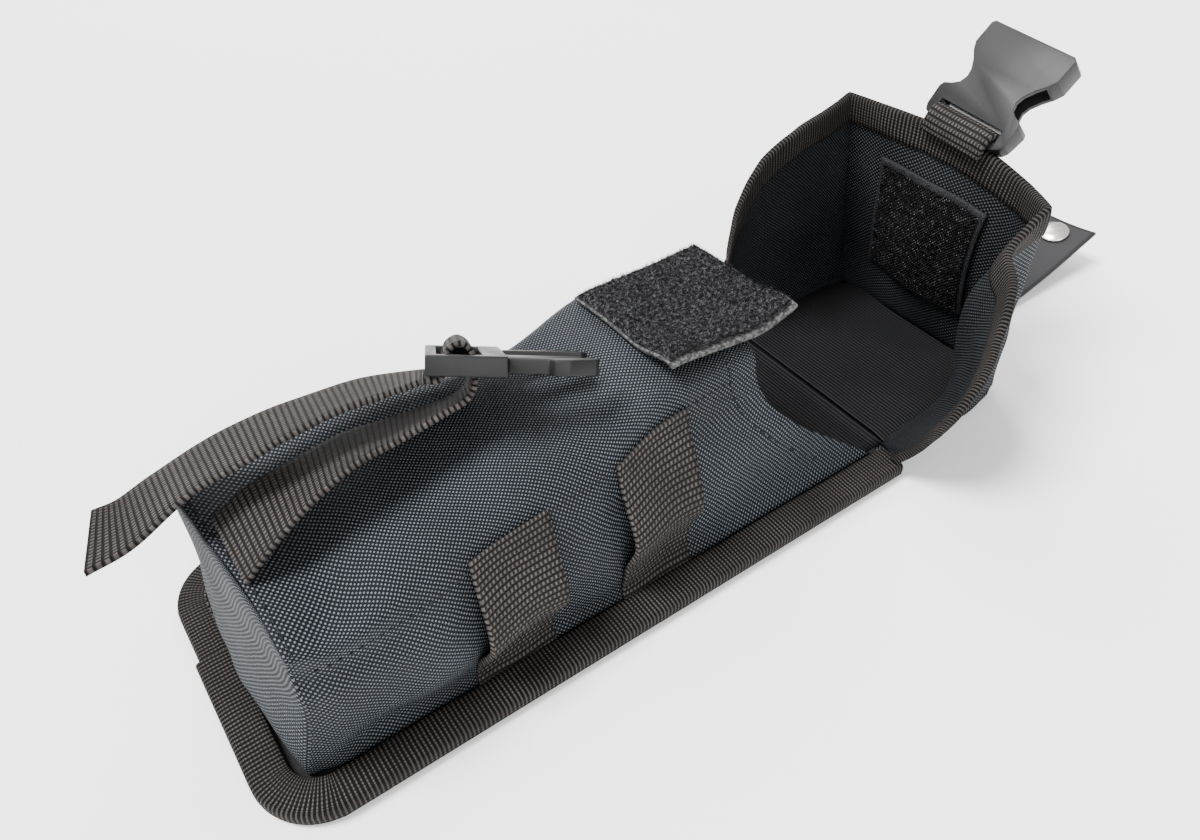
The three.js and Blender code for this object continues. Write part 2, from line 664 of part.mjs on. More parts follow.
// ---- Mounting strap ----------------------------------------------------------
function mountSurface(u, v) {
  const x = mix(FOLD_X + GAP, MOUNT_END, u);
  const away = Math.max((x - MOUNT_LIFT_START) / (MOUNT_END - MOUNT_LIFT_START), 0);
  const drift = MOUNT_DRIFT * Math.max((x - FOLD_X - 60) / (MOUNT_END - FOLD_X - 60), 0);
  const z = MOUNT_THICKNESS + 0.2 + MOUNT_LIFT * away * away;
  return new THREE.Vector3(x, drift + (v - 0.5) * MOUNT_WIDTH, z);
}

function buildMountStrap() {
  const u = 1 - SNAP_FROM_END / (MOUNT_END - FOLD_X);
  const centre = mountSurface(u, 0.5);
  const slope = mountSurface(u + 0.01, 0.5).sub(mountSurface(u - 0.01, 0.5));
  const angle = Math.atan2(slope.z, slope.x);
  const snap = new THREE.Group();
  snap.position.copy(centre);
  snap.rotation.y = -angle;
  model.add(snap);
  snap.updateMatrixWorld();

  const hole = new THREE.CylinderGeometry(POST_RADIUS + GAP, POST_RADIUS + GAP, 8, 20);
  hole.rotateX(Math.PI / 2).applyMatrix4(snap.matrixWorld);
  const strap = sheet(20, 1, MOUNT_THICKNESS, mountSurface);
  add('mounting_strap', cut(strap, hole), 'coated');

  const lathe = (profile) => {
    const points = profile.map(([r, z]) => new THREE.Vector2(r, z));
    return new THREE.LatheGeometry(points, 28).rotateX(Math.PI / 2);
  };
  const under = -MOUNT_THICKNESS - GAP;
  add('snap_cap', lathe([
    [0, under], [POST_RADIUS, under], [POST_RADIUS, 0.4], [SNAP_RADIUS, 0.4],
    [SNAP_RADIUS, 0.9], [SNAP_RADIUS - 1.2, 1.6], [SNAP_RADIUS / 2, 2.1], [0, 2.3],
  ]), 'metal', snap);
  const ring = SNAP_RADIUS - 1;
  add('snap_socket', lathe([
    [POST_RADIUS + GAP, under - 2.2], [ring - 0.8, under - 2.2], [ring, under - 1.4],
    [ring, under - 0.1], [POST_RADIUS + GAP, under - 0.1], [POST_RADIUS + GAP, under - 2.2],
  ]), 'metal', snap);
}

buildBack();
buildPocket();
buildLoops();
buildTab();
buildLid();
buildLidFront();
buildSocket();
buildLatch();
buildStrap();
buildMountStrap();

export default model;
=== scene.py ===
"""Saddle bag: an open bag on its back, with a boxed lid, a buckle and a mounting strap."""

import json
import math
import random
from bisect import bisect_right

import bmesh
import bpy
from mathutils import Matrix, Vector, noise


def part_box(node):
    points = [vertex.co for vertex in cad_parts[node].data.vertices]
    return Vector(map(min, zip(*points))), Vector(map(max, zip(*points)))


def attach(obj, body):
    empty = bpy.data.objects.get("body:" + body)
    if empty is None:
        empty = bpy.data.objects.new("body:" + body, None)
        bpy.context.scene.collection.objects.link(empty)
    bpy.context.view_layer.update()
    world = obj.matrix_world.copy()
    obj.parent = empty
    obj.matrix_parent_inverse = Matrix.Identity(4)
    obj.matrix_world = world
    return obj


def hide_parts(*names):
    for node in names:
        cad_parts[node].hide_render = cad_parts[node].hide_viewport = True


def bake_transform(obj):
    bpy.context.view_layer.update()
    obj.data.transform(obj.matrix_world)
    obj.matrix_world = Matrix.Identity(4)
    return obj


bl_info = {
    "name": "Saddle Bag",
    "version": (1, 0, 0),
    "blender": (4, 5, 0),
    "location": "View3D > Sidebar > Saddle Bag",
    "description": "Sews a soft saddle bag round its packed frame",
    "category": "Object",
}

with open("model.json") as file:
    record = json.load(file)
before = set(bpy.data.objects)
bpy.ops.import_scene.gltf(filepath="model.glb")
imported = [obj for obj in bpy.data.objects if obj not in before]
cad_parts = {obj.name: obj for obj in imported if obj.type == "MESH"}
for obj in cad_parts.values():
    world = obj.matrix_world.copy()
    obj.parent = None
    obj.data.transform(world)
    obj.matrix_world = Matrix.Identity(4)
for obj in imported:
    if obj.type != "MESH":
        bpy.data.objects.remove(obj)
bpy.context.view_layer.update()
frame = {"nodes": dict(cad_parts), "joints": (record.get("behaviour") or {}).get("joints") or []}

MM = 0.001
JOINTS = {joint["name"]: joint for joint in frame["joints"]}
PLASTIC_NODES = ("female_buckle", "male_buckle", "near_prong", "far_prong")

# ---- Places taken from the frame --------------------------
BACK_LOW, BACK_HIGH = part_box("back_binding")
FRONT_LOW, FRONT_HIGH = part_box("front_panel")
SIDE_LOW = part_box("near_gusset")[0]
TAB_LOW, TAB_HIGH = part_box("closure_tab")
FLAP_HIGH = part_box("closure_tab_flap")[1]
FLOOR_LOW, FLOOR_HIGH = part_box("lid_panel")
LINING_LOW, LINING_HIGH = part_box("lid_lining")
PATCH_LOW, PATCH_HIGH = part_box("hook_patch")
STRAP_LOW, STRAP_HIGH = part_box("mounting_strap")

BOTTOM_X = BACK_LOW.x
LID_X = BACK_HIGH.x
BACK_HALF = BACK_HIGH.y
TAPE_TOP = BACK_HIGH.z
RIDGE_X = FRONT_LOW.x
MOUTH_X = FRONT_HIGH.x
POCKET_HALF = -SIDE_LOW.y
BASE_Z = SIDE_LOW.z
FOLD = Vector(JOINTS["lid_hinge"]["pos_m"])
WALL_FOOT = Vector(JOINTS["lid_front_hinge"]["pos_m"])
SOCKET_PLACE = Vector(JOINTS["female_buckle_hinge"]["pos_m"])
LATCH_PLACE = Vector(JOINTS["male_buckle_pivot"]["pos_m"])
RIDGE_Z = JOINTS["front_strap_hinge"]["pos_m"][2] - 1.3 * MM

# ---- Sizes of the sewn work -------------------------------
CLOTH = 1.1 * MM
TAPE = 0.9 * MM
WEB = 1.5 * MM
WEB_HALF = 12.5 * MM
SOCKET_AIM = (-6.6, 44.5, -4)  # degrees: yaw, rise above level, roll
LATCH_AIM = (-27.8, -8, 33.7)
LID_LEAN = 10.5  # degrees that the lid's front leans in
LID_WEB_OFF = 3.4 * MM  # the webbing's middle, out from the lid's front
LID_GIRTH = 290 * MM  # round the lid's wall, for its weave
POCKET_GIRTH = 165 * MM  # up, over and down the pocket, for its weave
END_SIZE = (50 * MM, 76 * MM)
TAB_SIZE = (47 * MM, 50 * MM)
PATCH_SIZE = (50 * MM, 45 * MM)
PATCH_HEM = 1.8 * MM
MOUNT_HALF = 13.5 * MM
TAPE_GIRTH = 24 * MM  # round the section of a folded tape
TAPE_LAP = 0.522  # share of the back's edge where its two tapes overlap


# ---- Number helpers ---------------------------------------
def mm(x, y, z):
    """A place given in mm, in metres."""
    return Vector((x, y, z)) * MM


def mix(a, b, share):
    return a + (b - a) * share


def clamp(value, low=0.0, high=1.0):
    return max(low, min(high, value))


def smooth(share):
    share = clamp(share)
    return share * share * (3 - 2 * share)


def bump_at(value, middle, width):
    """One at middle, falling to zero at width to either side."""
    return smooth(1 - abs(value - middle) / width)


def wander(place, grain, amount, seed=0.0):
    """A smooth random distance for a place in metres, the same on each run."""
    return noise.noise(place / grain + Vector((seed, 3 * seed, 7 * seed))) * amount


def through(points, share):
    """A point on the smooth line through the points."""
    last = len(points) - 1
    walked = clamp(share) * last
    index = min(int(walked), last - 1)
    t = walked - index
    b, c = points[index], points[index + 1]
    a = points[index - 1] if index > 0 else 2 * b - c
    d = points[index + 2] if index + 2 <= last else 2 * c - b
    return 0.5 * (
        2 * b
        + (c - a) * t
        + (2 * a - 5 * b + 4 * c - d) * t * t
        + (3 * b - a - 3 * c + d) * t**3
    )


def line_value(pairs, at):
    """A straight-line value between (place, value) pairs."""
    for (x0, y0), (x1, y1) in zip(pairs, pairs[1:]):
        if at <= x1:
            return mix(y0, y1, clamp((at - x0) / (x1 - x0)))
    return pairs[-1][1]


class Path:
    """A smooth line through points, walked by share of its length."""

    steps = 300

    def __init__(self, points):
        self.spots = [through(points, i / self.steps) for i in range(self.steps + 1)]
        self.walked = [0.0]
        for before, after in zip(self.spots, self.spots[1:]):
            self.walked.append(self.walked[-1] + (after - before).length)
        self.length = self.walked[-1]

    def at(self, share):
        """The point at share of the length."""
        target = clamp(share) * self.length
        high = min(max(bisect_right(self.walked, target), 1), self.steps)
        low = high - 1
        span = self.walked[high] - self.walked[low]
        return self.spots[low].lerp(self.spots[high], (target - self.walked[low]) / span)

    def ahead(self, share):
        """The direction of the line at share."""
        step = 0.004
        return (self.at(share + step) - self.at(share - step)).normalized()


def turned(yaw, rise, roll):
    """The rotation of a piece that heads off at yaw, climbs at rise and rolls."""
    yaw, rise, roll = (math.radians(angle) for angle in (yaw, rise, roll))
    return (
        Matrix.Rotation(yaw, 3, "Z")
        @ Matrix.Rotation(-rise, 3, "Y")
        @ Matrix.Rotation(-roll, 3, "X")
    )


# ---- Mesh helpers -----------------------------------------
def put(name, data):
    """An object that shows data, linked to the scene."""
    made = bpy.data.objects.new(name, data)
    bpy.context.scene.collection.objects.link(made)
    return made


def to_piece(name, bm, finish, body, replaces=(), thickness=0.0, offset=-1):
    """A bmesh as an object that rides on a body and stands for CAD nodes."""
    mesh = bpy.data.meshes.new(name)
    bm.to_mesh(mesh)
    bm.free()
    mesh.shade_smooth()
    piece = put(name, mesh)
    mesh.materials.append(finish.material)
    if thickness:
        wall = piece.modifiers.new("thickness", "SOLIDIFY")
        wall.thickness = thickness
        wall.offset = offset
    if body:
        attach(piece, body)
    if replaces:
        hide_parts(*replaces)
    return piece


def grid(place, along, across, cloth, flip=False):
    """A grid laid on the surface place(u, v), with its weave at cloth(u, v) in metres."""
    bm = bmesh.new()
    layer = bm.loops.layers.uv.new("weave")
    bmesh.ops.create_grid(bm, x_segments=along, y_segments=across, size=0.5)
    for face in bm.faces:
        for loop in face.loops:
            loop[layer].uv = cloth(loop.vert.co.x + 0.5, loop.vert.co.y + 0.5)
    for vert in bm.verts:
        vert.co = place(vert.co.x + 0.5, vert.co.y + 0.5)
    if flip:
        bmesh.ops.reverse_faces(bm, faces=bm.faces)
    return bm


def scaled(length, width):
    """The weave place of a flat length and width."""
    return lambda u, v: (u * length, v * width)


def facing(place, u, v):
    """The direction that the surface place(u, v) faces."""
    step = 0.004
    du = place(min(u + step, 1), v) - place(max(u - step, 0), v)
    dv = place(u, min(v + step, 1)) - place(u, max(v - step, 0))
    return du.cross(dv).normalized()


def stitch_row(bm, line, count, pitch_share=0.62, thick=0.32 * MM):
    """Thread stitches, end to end along line(share), sunk half into the cloth."""
    for index in range(count):
        start = line(index / count)
        end = line((index + pitch_share) / count)
        along = end - start
        turn = along.to_track_quat("X", "Z").to_matrix().to_4x4()
        size = Matrix.Diagonal((along.length / 2, thick, thick, 1))
        place = Matrix.Translation((start + end) / 2)
        bmesh.ops.create_uvsphere(
            bm, u_segments=6, v_segments=4, radius=1, matrix=place @ turn @ size
        )


def hard_piece(node, finish, body, bevel):
    """A moulded piece: the node's own shape, merged, with its edges rounded."""
    bm = bmesh.new()
    bm.from_mesh(frame["nodes"][node].data)
    bmesh.ops.remove_doubles(bm, verts=bm.verts, dist=0.01 * MM)
    bmesh.ops.dissolve_limit(
        bm, angle_limit=math.radians(1), verts=bm.verts, edges=bm.edges
    )
    sharp = [e for e in bm.edges if e.is_manifold and e.calc_face_angle() > math.radians(28)]
    bmesh.ops.bevel(
        bm, geom=sharp, offset=bevel, segments=3, profile=0.5, affect="EDGES", material=-1,
        clamp_overlap=True,
    )
    return to_piece(f"{node}_moulded", bm, finish, body, [node])


# ---- Shader helpers ---------------------------------------
class Signal:
    """A socket that can be added, multiplied and compared like a number."""

    def __init__(self, finish, socket):
        self.finish = finish
        self.socket = socket

    def math(self, operation, *others):
        values = [self.socket, *others]
        inputs = {index: value for index, value in enumerate(values)}
        return self.finish.node("ShaderNodeMath", {"operation": operation}, inputs)

    def __add__(self, other):
        return self.math("ADD", other)

    def __sub__(self, other):
        return self.math("SUBTRACT", other)

    def __mul__(self, other):
        return self.math("MULTIPLY", other)

    def __truediv__(self, other):
        return self.math("DIVIDE", other)

    def __rsub__(self, other):
        return self.finish.number(other).math("SUBTRACT", self)

    __radd__ = __add__
    __rmul__ = __mul__

    def sin(self):
        return self.math("SINE")

    def floor(self):
        return self.math("FLOOR")

    def between(self, low, high):
        """Zero below low, one above high."""
        settings = {"interpolation_type": "SMOOTHSTEP"}
        inputs = {"Value": self, "From Min": low, "From Max": high}
        return self.finish.node("ShaderNodeMapRange", settings, inputs)


class Finish:
    """A material and the record's slot that it belongs to."""

    def __init__(self, name, slot, roughness=0.8, metallic=0.0, gloss=0.12):
        self.slot = slot
        self.material = bpy.data.materials.new(name)
        self.material.use_nodes = True
        self.tree = self.material.node_tree
        self.shader = self.tree.nodes["Principled BSDF"]
        self.shader.inputs["Roughness"].default_value = roughness
        self.shader.inputs["Metallic"].default_value = metallic
        self.shader.inputs["Specular IOR Level"].default_value = gloss

    def node(self, kind, settings=None, inputs=None, output=0):
        """A shader node with its settings and inputs, as one of its outputs."""
        made = self.tree.nodes.new(kind)
        for key, value in (settings or {}).items():
            setattr(made, key, value)
        for key, value in (inputs or {}).items():
            if isinstance(value, Signal):
                value = value.socket
            if isinstance(value, bpy.types.NodeSocket):
                self.tree.links.new(value, made.inputs[key])
            else:
                made.inputs[key].default_value = value
        return Signal(self, made.outputs[output])

    def number(self, value):
        """A plain number as a signal."""
        return self.node("ShaderNodeMath", {"operation": "ADD"}, {0: value, 1: 0.0})

    def weave_places(self):
        """The weave's own two coordinates, in metres."""
        uv = self.node("ShaderNodeUVMap", {"uv_map": "weave"})
        split = self.node("ShaderNodeSeparateXYZ", None, {0: uv})
        return split, Signal(self, split.socket.node.outputs[1])

    def object_place(self):
        coordinates = self.tree.nodes.new("ShaderNodeTexCoord")
        return Signal(self, coordinates.outputs["Object"])

    def clouds(self, scale, detail=2.0, where=None, roughness=0.5):
        where = where or self.object_place()
        inputs = {"Vector": where, "Scale": scale, "Detail": detail, "Roughness": roughness}
        return self.node("ShaderNodeTexNoise", None, inputs)

    def mixed(self, share, low, high):
        """A colour between low and high."""
        inputs = {0: share, 6: low, 7: high}
        return self.node("ShaderNodeMix", {"data_type": "RGBA"}, inputs, 2)

    def drive(self, name, value):
        """Feed one input of the shader."""
        self.tree.links.new(value.socket, self.shader.inputs[name])

    def paint(self, share, low, high):
        """Colour the surface from low to high."""
        self.drive("Base Color", self.mixed(share, low, high))

    def emboss(self, height, distance, strength=1.0):
        inputs = {"Height": height, "Distance": distance, "Strength": strength}
        bump = self.node("ShaderNodeBump", None, inputs)
        self.drive("Normal", bump)


def rgb(colour, brightness=1.0):
    """A colour with its alpha, made lighter or darker."""
    return (*(channel * brightness for channel in colour), 1.0)


def waves(place, pitch):
    """A sine along place, one turn for each pitch."""
    return (place * (2 * math.pi / pitch)).sin()


def cloth_finish(colours, sizes, name="bag_cloth", shade=1.0):
    """Coated basket weave: pale thread crossings over a dark blue-grey ground. A shade below one
    darkens the whole weave as painted shade.
    """
    finish = Finish(name, "cloth", 0.62)
    x, y = finish.weave_places()
    drift = finish.clouds(90, 2.0) * (0.5 * MM)
    pitch = sizes.weave_pitch
    weave = waves(x + drift, pitch) * waves(y + drift, pitch)
    dots = weave.between(0.0, 0.8)
    thread = finish.clouds(900, 1.0)
    worn = finish.clouds(28, 3.0)
    shine = dots * (0.55 + 0.9 * thread) * (0.45 + 0.9 * worn)
    ground = finish.mixed(
        worn.between(0.3, 0.7), rgb(colours.cloth, 0.72 * shade), rgb(colours.cloth, 1.15 * shade)
    )
    finish.paint(shine, ground, rgb(colours.thread, shade))
    finish.emboss(weave.between(-0.6, 1.0), 0.35 * MM, 1.0)
    return finish


def tape_finish(colours, sizes):
    """Ribbed binding tape, with its ribs across the edge that it binds."""
    finish = Finish("binding_tape", "tape", 0.8)
    x, y = finish.weave_places()
    wobble = finish.clouds(160, 1.0) * (0.3 * MM)
    ribs = waves(x + wobble, sizes.rib_pitch)
    beads = waves(y + wobble, 0.75 * MM)
    rib = ribs.between(-0.35, 0.8)
    worn = finish.clouds(60, 3.0)
    shine = rib * (0.35 + 0.65 * beads.between(-0.7, 0.6)) * (0.3 + 1.1 * worn)
    finish.paint(shine, rgb(colours.tape, 0.5), rgb(colours.tape_thread))
    finish.emboss(rib + beads * 0.18, 0.3 * MM, 0.9)
    return finish


def webbing_finish(colours, sizes):
    """Woven webbing: rows of raised knots across its width."""
    finish = Finish("webbing", "webbing", 0.75)
    x, y = finish.weave_places()
    rows = x * (1 / sizes.web_row)
    shift = (rows.floor() * 0.5 - (rows.floor() * 0.5).floor()) * (0.9 * MM)
    row = waves(x, sizes.web_row).between(-0.95, 0.1)
    knots = waves(y + shift, sizes.web_knot)
    knot = knots.between(-0.8, 0.5)
    grain = finish.clouds(700, 2.0)
    worn = finish.clouds(45, 2.0)
    shine = row * (0.12 + 0.88 * knot) * (0.3 + 0.9 * grain) * (0.4 + 0.8 * worn)
    finish.paint(shine, rgb(colours.webbing, 0.35), rgb(colours.webbing_thread))
    finish.emboss(row * (0.35 + 0.65 * knot), 0.5 * MM, 1.0)
    return finish


def lining_finish(colours, sizes):
    """Black lining with fine ribs across the lid."""
    finish = Finish("ribbed_lining", "lining", 0.55)
    x, y = finish.weave_places()
    ribs = waves(x, sizes.lining_rib).between(0.1, 0.95)
    fine = waves(y, 0.9 * MM).between(-0.6, 0.6)
    worn = finish.clouds(40, 3.0)
    shine = ribs * (0.35 + 0.65 * fine) * (0.25 + 1.0 * worn)
    finish.paint(shine, rgb(colours.lining), rgb(colours.lining, 20))
    finish.emboss(ribs, 0.25 * MM, 0.8)
    return finish


def pile_finish(colours):
    """Brushed loop pile, charcoal with pale fibres."""
    finish = Finish("loop_pile", "pile", 0.95)
    tufts = finish.clouds(800, 3.0, None, 0.7)
    fibres = finish.clouds(2400, 2.0, None, 0.8)
    shine = (tufts * 0.5 + fibres * 0.5).between(0.46, 0.66)
    finish.paint(shine, rgb(colours.pile, 0.25), rgb(colours.pile, 11))
    finish.emboss(tufts + fibres * 0.5, 0.8 * MM, 1.0)
    return finish


def plain_woven(name, slot, colour, pale, scale=900):
    """Fine woven edge or thread with a little speckle."""
    finish = Finish(name, slot, 0.8)
    speckle = finish.clouds(scale, 2.0).between(0.4, 0.65)
    finish.paint(speckle, rgb(colour), rgb(pale))
    finish.emboss(speckle, 0.1 * MM, 0.5)
    return finish


def hook_finish(colours):
    """Hook tape: close rows of small stiff hooks."""
    finish = Finish("hook_tape", "hooks", 0.6)
    x, y = finish.weave_places()
    rows = waves(x, 1.3 * MM) * waves(y, 1.3 * MM)
    glint = rows.between(0.35, 0.9) * finish.clouds(520, 3.0, None, 0.7).between(0.45, 0.7)
    finish.paint(glint, rgb(colours.lining, 0.8), rgb(colours.pile, 22))
    finish.emboss(rows, 0.5 * MM, 1.0)
    return finish


def plastic_finish(colours):
    """Moulded plastic with a fine satin grain and rubbed patches."""
    finish = Finish("moulded_plastic", "plastic", gloss=0.22)
    grain = finish.clouds(2600, 2.0)
    rubbed = finish.clouds(70, 4.0)
    patches = rubbed.between(0.3, 0.75)
    finish.paint(patches, rgb(colours.plastic, 0.85), rgb(colours.plastic, 1.3))
    finish.drive("Roughness", 0.34 + 0.2 * rubbed)
    finish.emboss(grain, 0.06 * MM, 0.5)
    return finish


def coated_finish(colours):
    """Smooth coated strap with faint creases."""
    finish = Finish("coated_strap", "coated", gloss=0.3)
    creases = finish.clouds(35, 5.0)
    finish.paint(creases, rgb(colours.coated, 0.8), rgb(colours.coated, 1.25))
    finish.drive("Roughness", 0.42 + 0.2 * creases)
    finish.emboss(creases + finish.clouds(1400, 2.0) * 0.15, 0.2 * MM, 0.5)
    return finish


def metal_finish():
    """Bright plated metal with light handling marks."""
    finish = Finish("plated_metal", "metal", metallic=1.0, gloss=0.5)
    marks = finish.clouds(500, 4.0)
    finish.paint(marks, rgb((0.75, 0.73, 0.68)), rgb((0.9, 0.88, 0.83)))
    finish.drive("Roughness", 0.16 + 0.22 * marks)
    finish.emboss(marks, 0.03 * MM, 0.4)
    return finish


def board_finish():
    """Plain stiffener sheet, faintly pebbled."""
    finish = Finish("board", "board", 0.8)
    pebble = finish.clouds(600, 2.0)
    finish.paint(pebble, rgb((0.006, 0.006, 0.006)), rgb((0.014, 0.014, 0.014)))
    finish.emboss(pebble, 0.1 * MM, 0.5)
    return finish


FINISHES = {}


def finishes():
    """All finishes, made once from the colours and sizes."""
    if not FINISHES:
        colours = bpy.context.scene.bag_colours
        sizes = bpy.context.scene.bag_sizes
        FINISHES.update(
            cloth=cloth_finish(colours, sizes),
            # The lid's inside: the same cloth at 0.4 brightness, painted shade.
            inside=cloth_finish(colours, sizes, "inside_cloth_painted_shade", 0.4),
            tape=tape_finish(colours, sizes),
            webbing=webbing_finish(colours, sizes),
            lining=lining_finish(colours, sizes),
            pile=pile_finish(colours),
            selvage=plain_woven("selvage", "pile", (0.03, 0.03, 0.03), (0.1, 0.1, 0.1)),
            thread=plain_woven(
                "sewing_thread", "tape", (0.006, 0.006, 0.007), (0.03, 0.03, 0.033), 2500
            ),
            pale_thread=plain_woven(
                "pale_thread", "tape", (0.03, 0.027, 0.025), (0.1, 0.09, 0.085), 2500
            ),
            hooks=hook_finish(colours),
            plastic=plastic_finish(colours),
            coated=coated_finish(colours),
            metal=metal_finish(),
            board=board_finish(),
        )
    return FINISHES


# ---- Sizes and colours that a user would change -----------
def length_property(name, description, default):
    return bpy.props.FloatProperty(
        name=name, description=description, default=default, min=0.1 * MM,
        unit="LENGTH", subtype="DISTANCE", precision=5,
    )


def colour_property(name, description, default):
    return bpy.props.FloatVectorProperty(
        name=name, description=description, default=default, size=3, min=0, max=1,
        subtype="COLOR",
    )


class BagSizes(bpy.types.PropertyGroup):
    """Sizes of the weave and of the sewn work"""

    weave_pitch: length_property("Weave pitch", "Repeat of the basket weave", 1.45 * MM)
    rib_pitch: length_property("Tape rib", "Distance between the tape's ribs", 1.25 * MM)
    web_row: length_property("Webbing row", "Distance between rows of knots", 1.7 * MM)
    web_knot: length_property("Webbing knot", "Distance between knots in a row", 1.3 * MM)
    lining_rib: length_property("Lining rib", "Distance between the lining's ribs", 1.4 * MM)
    tape_width: length_property("Tape width", "Binding tape on each side of an edge", 10 * MM)
    stitch: length_property("Stitch", "Length of one stitch", 2.8 * MM)


class BagColours(bpy.types.PropertyGroup):
    """Colours of the bag's cloth, tape, webbing and plastic"""

    cloth: colour_property("Cloth", "Ground of the basket weave", (0.0035, 0.0045, 0.006))
    thread: colour_property("Thread", "Pale thread crossings", (0.125, 0.14, 0.158))
    tape: colour_property("Tape", "Ground of the binding tape", (0.0034, 0.0028, 0.0027))
    tape_thread: colour_property("Tape thread", "Pale ribs of the tape", (0.07, 0.061, 0.056))
    webbing: colour_property("Webbing", "Ground of the webbing", (0.011, 0.009, 0.0085))
    webbing_thread: colour_property("Webbing knots", "Raised knots", (0.1, 0.089, 0.083))
    lining: colour_property("Lining", "Black lining", (0.0016, 0.0016, 0.0018))
    pile: colour_property("Pile", "Loop pile", (0.0075, 0.0075, 0.0082))
    plastic: colour_property("Plastic", "Moulded buckle", (0.009, 0.009, 0.0095))
    coated: colour_property("Strap coating", "Mounting strap", (0.014, 0.014, 0.015))


# ---- Back panel -------------------------------------------
CORNER = 18 * MM


def back_edge_path():
    """The back panel's outline: near side, round bottom corners, far side."""
    left, half = BOTTOM_X, BACK_HALF
    near = [Vector((mix(LID_X, left + CORNER, i / 8), -half, 0)) for i in range(9)]
    for i in range(1, 8):
        turn = math.pi / 2 * i / 8
        x = left + CORNER - CORNER * math.sin(turn)
        near.append(Vector((x, -half + CORNER - CORNER * math.cos(turn), 0)))
    foot = [Vector((left, mix(-half + CORNER, half - CORNER, i / 5), 0)) for i in range(6)]
    far = [Vector((point.x, -point.y, 0)) for point in reversed(near)]
    return Path(near + foot + far)


def way_in(point, ahead):
    """The level direction square to the edge at point, towards the back's middle."""
    inward = Vector((-ahead.y, ahead.x, 0))
    return -inward if inward.dot(point) > 0 else inward


# Section of the folded tape: distance in from the edge, height, in mm.
TAPE_SECTION = [
    (10.2, 4.2), (9.9, 4.75), (7.5, 4.8), (4.5, 4.7), (1.6, 4.5), (0.6, 4.2),
    (0.15, 3.5), (0.05, 2.0), (0.4, 0.9), (1.3, 0.4), (2.6, 0.1), (10.0, 0.05),
]


def bind_back(name, edge, start, end, spread, replaces=()):
    """A tape folded over the back's edge from start to end, as shares of its length."""
    section = [Vector((x, z)) * MM for x, z in TAPE_SECTION]
    length = edge.length * (end - start)

    def place(u, v):
        share = mix(start, end, u)
        point, ahead = edge.at(share), edge.ahead(share)
        inward = way_in(point, ahead)
        across = through(section, v)
        swell = 0.15 * MM * math.sin(math.pi * clamp(v * 1.6))
        height = across.y + spread * (1 if across.y > 2.4 * MM else 0)
        where = point + inward * (across.x - spread)
        lift = wander(where + Vector((0, 0, v)), 11 * MM, 0.3 * MM, 2) + swell
        return Vector((where.x, where.y, max(height + lift * (v < 0.5), 0.0)))

    steps = int(length / (1.6 * MM))
    bm = grid(place, steps, 20, scaled(length, TAPE_GIRTH))
    return to_piece(name, bm, finishes()["tape"], "body", replaces, TAPE)


def bind_whole_back():
    """The back's two tapes, the near one lapped over the far one."""
    edge = back_edge_path()
    bind_back("back_binding_far", edge, TAPE_LAP - 0.02, 1.0, 0.0)
    bind_back("back_binding_near", edge, 0.0, TAPE_LAP, 1.3 * MM, ["back_binding"])


def back_floor():
    """The cloth of the back's resting face, drawn tight by its tape."""
    low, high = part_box("back_panel")

    def place(u, v):
        x = mix(low.x, high.x, u)
        y = mix(low.y, high.y, v)
        puff = 0.35 * MM * math.sin(math.pi * u) * math.sin(math.pi * v)
        return Vector((x, y, 0.45 * MM - puff))

    size = scaled(high.x - low.x, high.y - low.y)
    bm = grid(place, 60, 24, size, flip=True)
    return to_piece("back_cloth", bm, finishes()["cloth"], "body", ["back_panel"], 0.7 * MM)


def pocket_floor():
    """Lining on the pocket's floor, running out over the fold to the lid."""
    low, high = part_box("back_lining")

    def place(u, v):
        x = mix(low.x, LINING_LOW.x + 3 * MM, u)
        y = mix(low.y, high.y, v) * 1.04
        rise = smooth((x - LID_X + 12 * MM) / (16 * MM))
        z = mix(high.z, LINING_HIGH.z, rise) - 1.2 * MM * bump_at(x, FOLD.x, 7 * MM)
        return Vector((x, y, z + 0.1 * MM))

    size = scaled(LINING_LOW.x - low.x, high.y - low.y)
    bm = grid(place, 90, 20, size)
    piece = to_piece("pocket_lining", bm, finishes()["lining"], None, ["back_lining"], 0.6 * MM)
    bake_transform(piece)
    return piece


def fold_cloth():
    """The outer cloth that bends where the lid folds on the back."""

    def place(u, v):
        x = mix(FOLD.x - 11 * MM, FOLD.x + 9 * MM, u)
        y = mix(-BACK_HALF + 3 * MM, BACK_HALF - 3 * MM, v)
        z = mix(1.5 * MM, FLOOR_LOW.z + 0.8 * MM, smooth((x - FOLD.x) / (6 * MM)))
        return Vector((x, y, z + wander(Vector((x, y, 0)), 9 * MM, 0.25 * MM, 4)))

    bm = grid(place, 24, 60, scaled(20 * MM, 92 * MM))
    piece = to_piece("fold_cloth", bm, finishes()["cloth"], None, (), CLOTH)
    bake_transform(piece)
    return piece


# ---- Pocket -----------------------------------------------
MOUTH_NEAR_HALF = 25 * MM
MOUTH_FAR_HALF = 31 * MM
END_FOOT_X = -96.5 * MM  # where the side walls start at the base
SIDE_SHARE = 0.3  # of the pocket's skin that is one side wall
# Where the near wall's mouth edge runs: share of the height, x in mm.
MOUTH_EDGE = [(0, 106), (0.28, 84), (0.5, 70), (0.74, 59.5), (1, 58)]


def shoulder(side, u):
    """The edge of the front panel, u = 0 at the ridge and 1 at the mouth."""
    mouth_half = MOUTH_NEAR_HALF if side < 0 else MOUTH_FAR_HALF
    half = mix(POCKET_HALF, mouth_half, smooth(u / 0.55))
    drop = 3 * MM * math.sin(math.pi * min(u / 0.6, 1))
    rise = (FRONT_HIGH.z - RIDGE_Z - 2.5 * MM) * smooth((u - 0.6) / 0.24)
    return Vector((mix(RIDGE_X, MOUTH_X, u), side * half, RIDGE_Z - drop + rise))


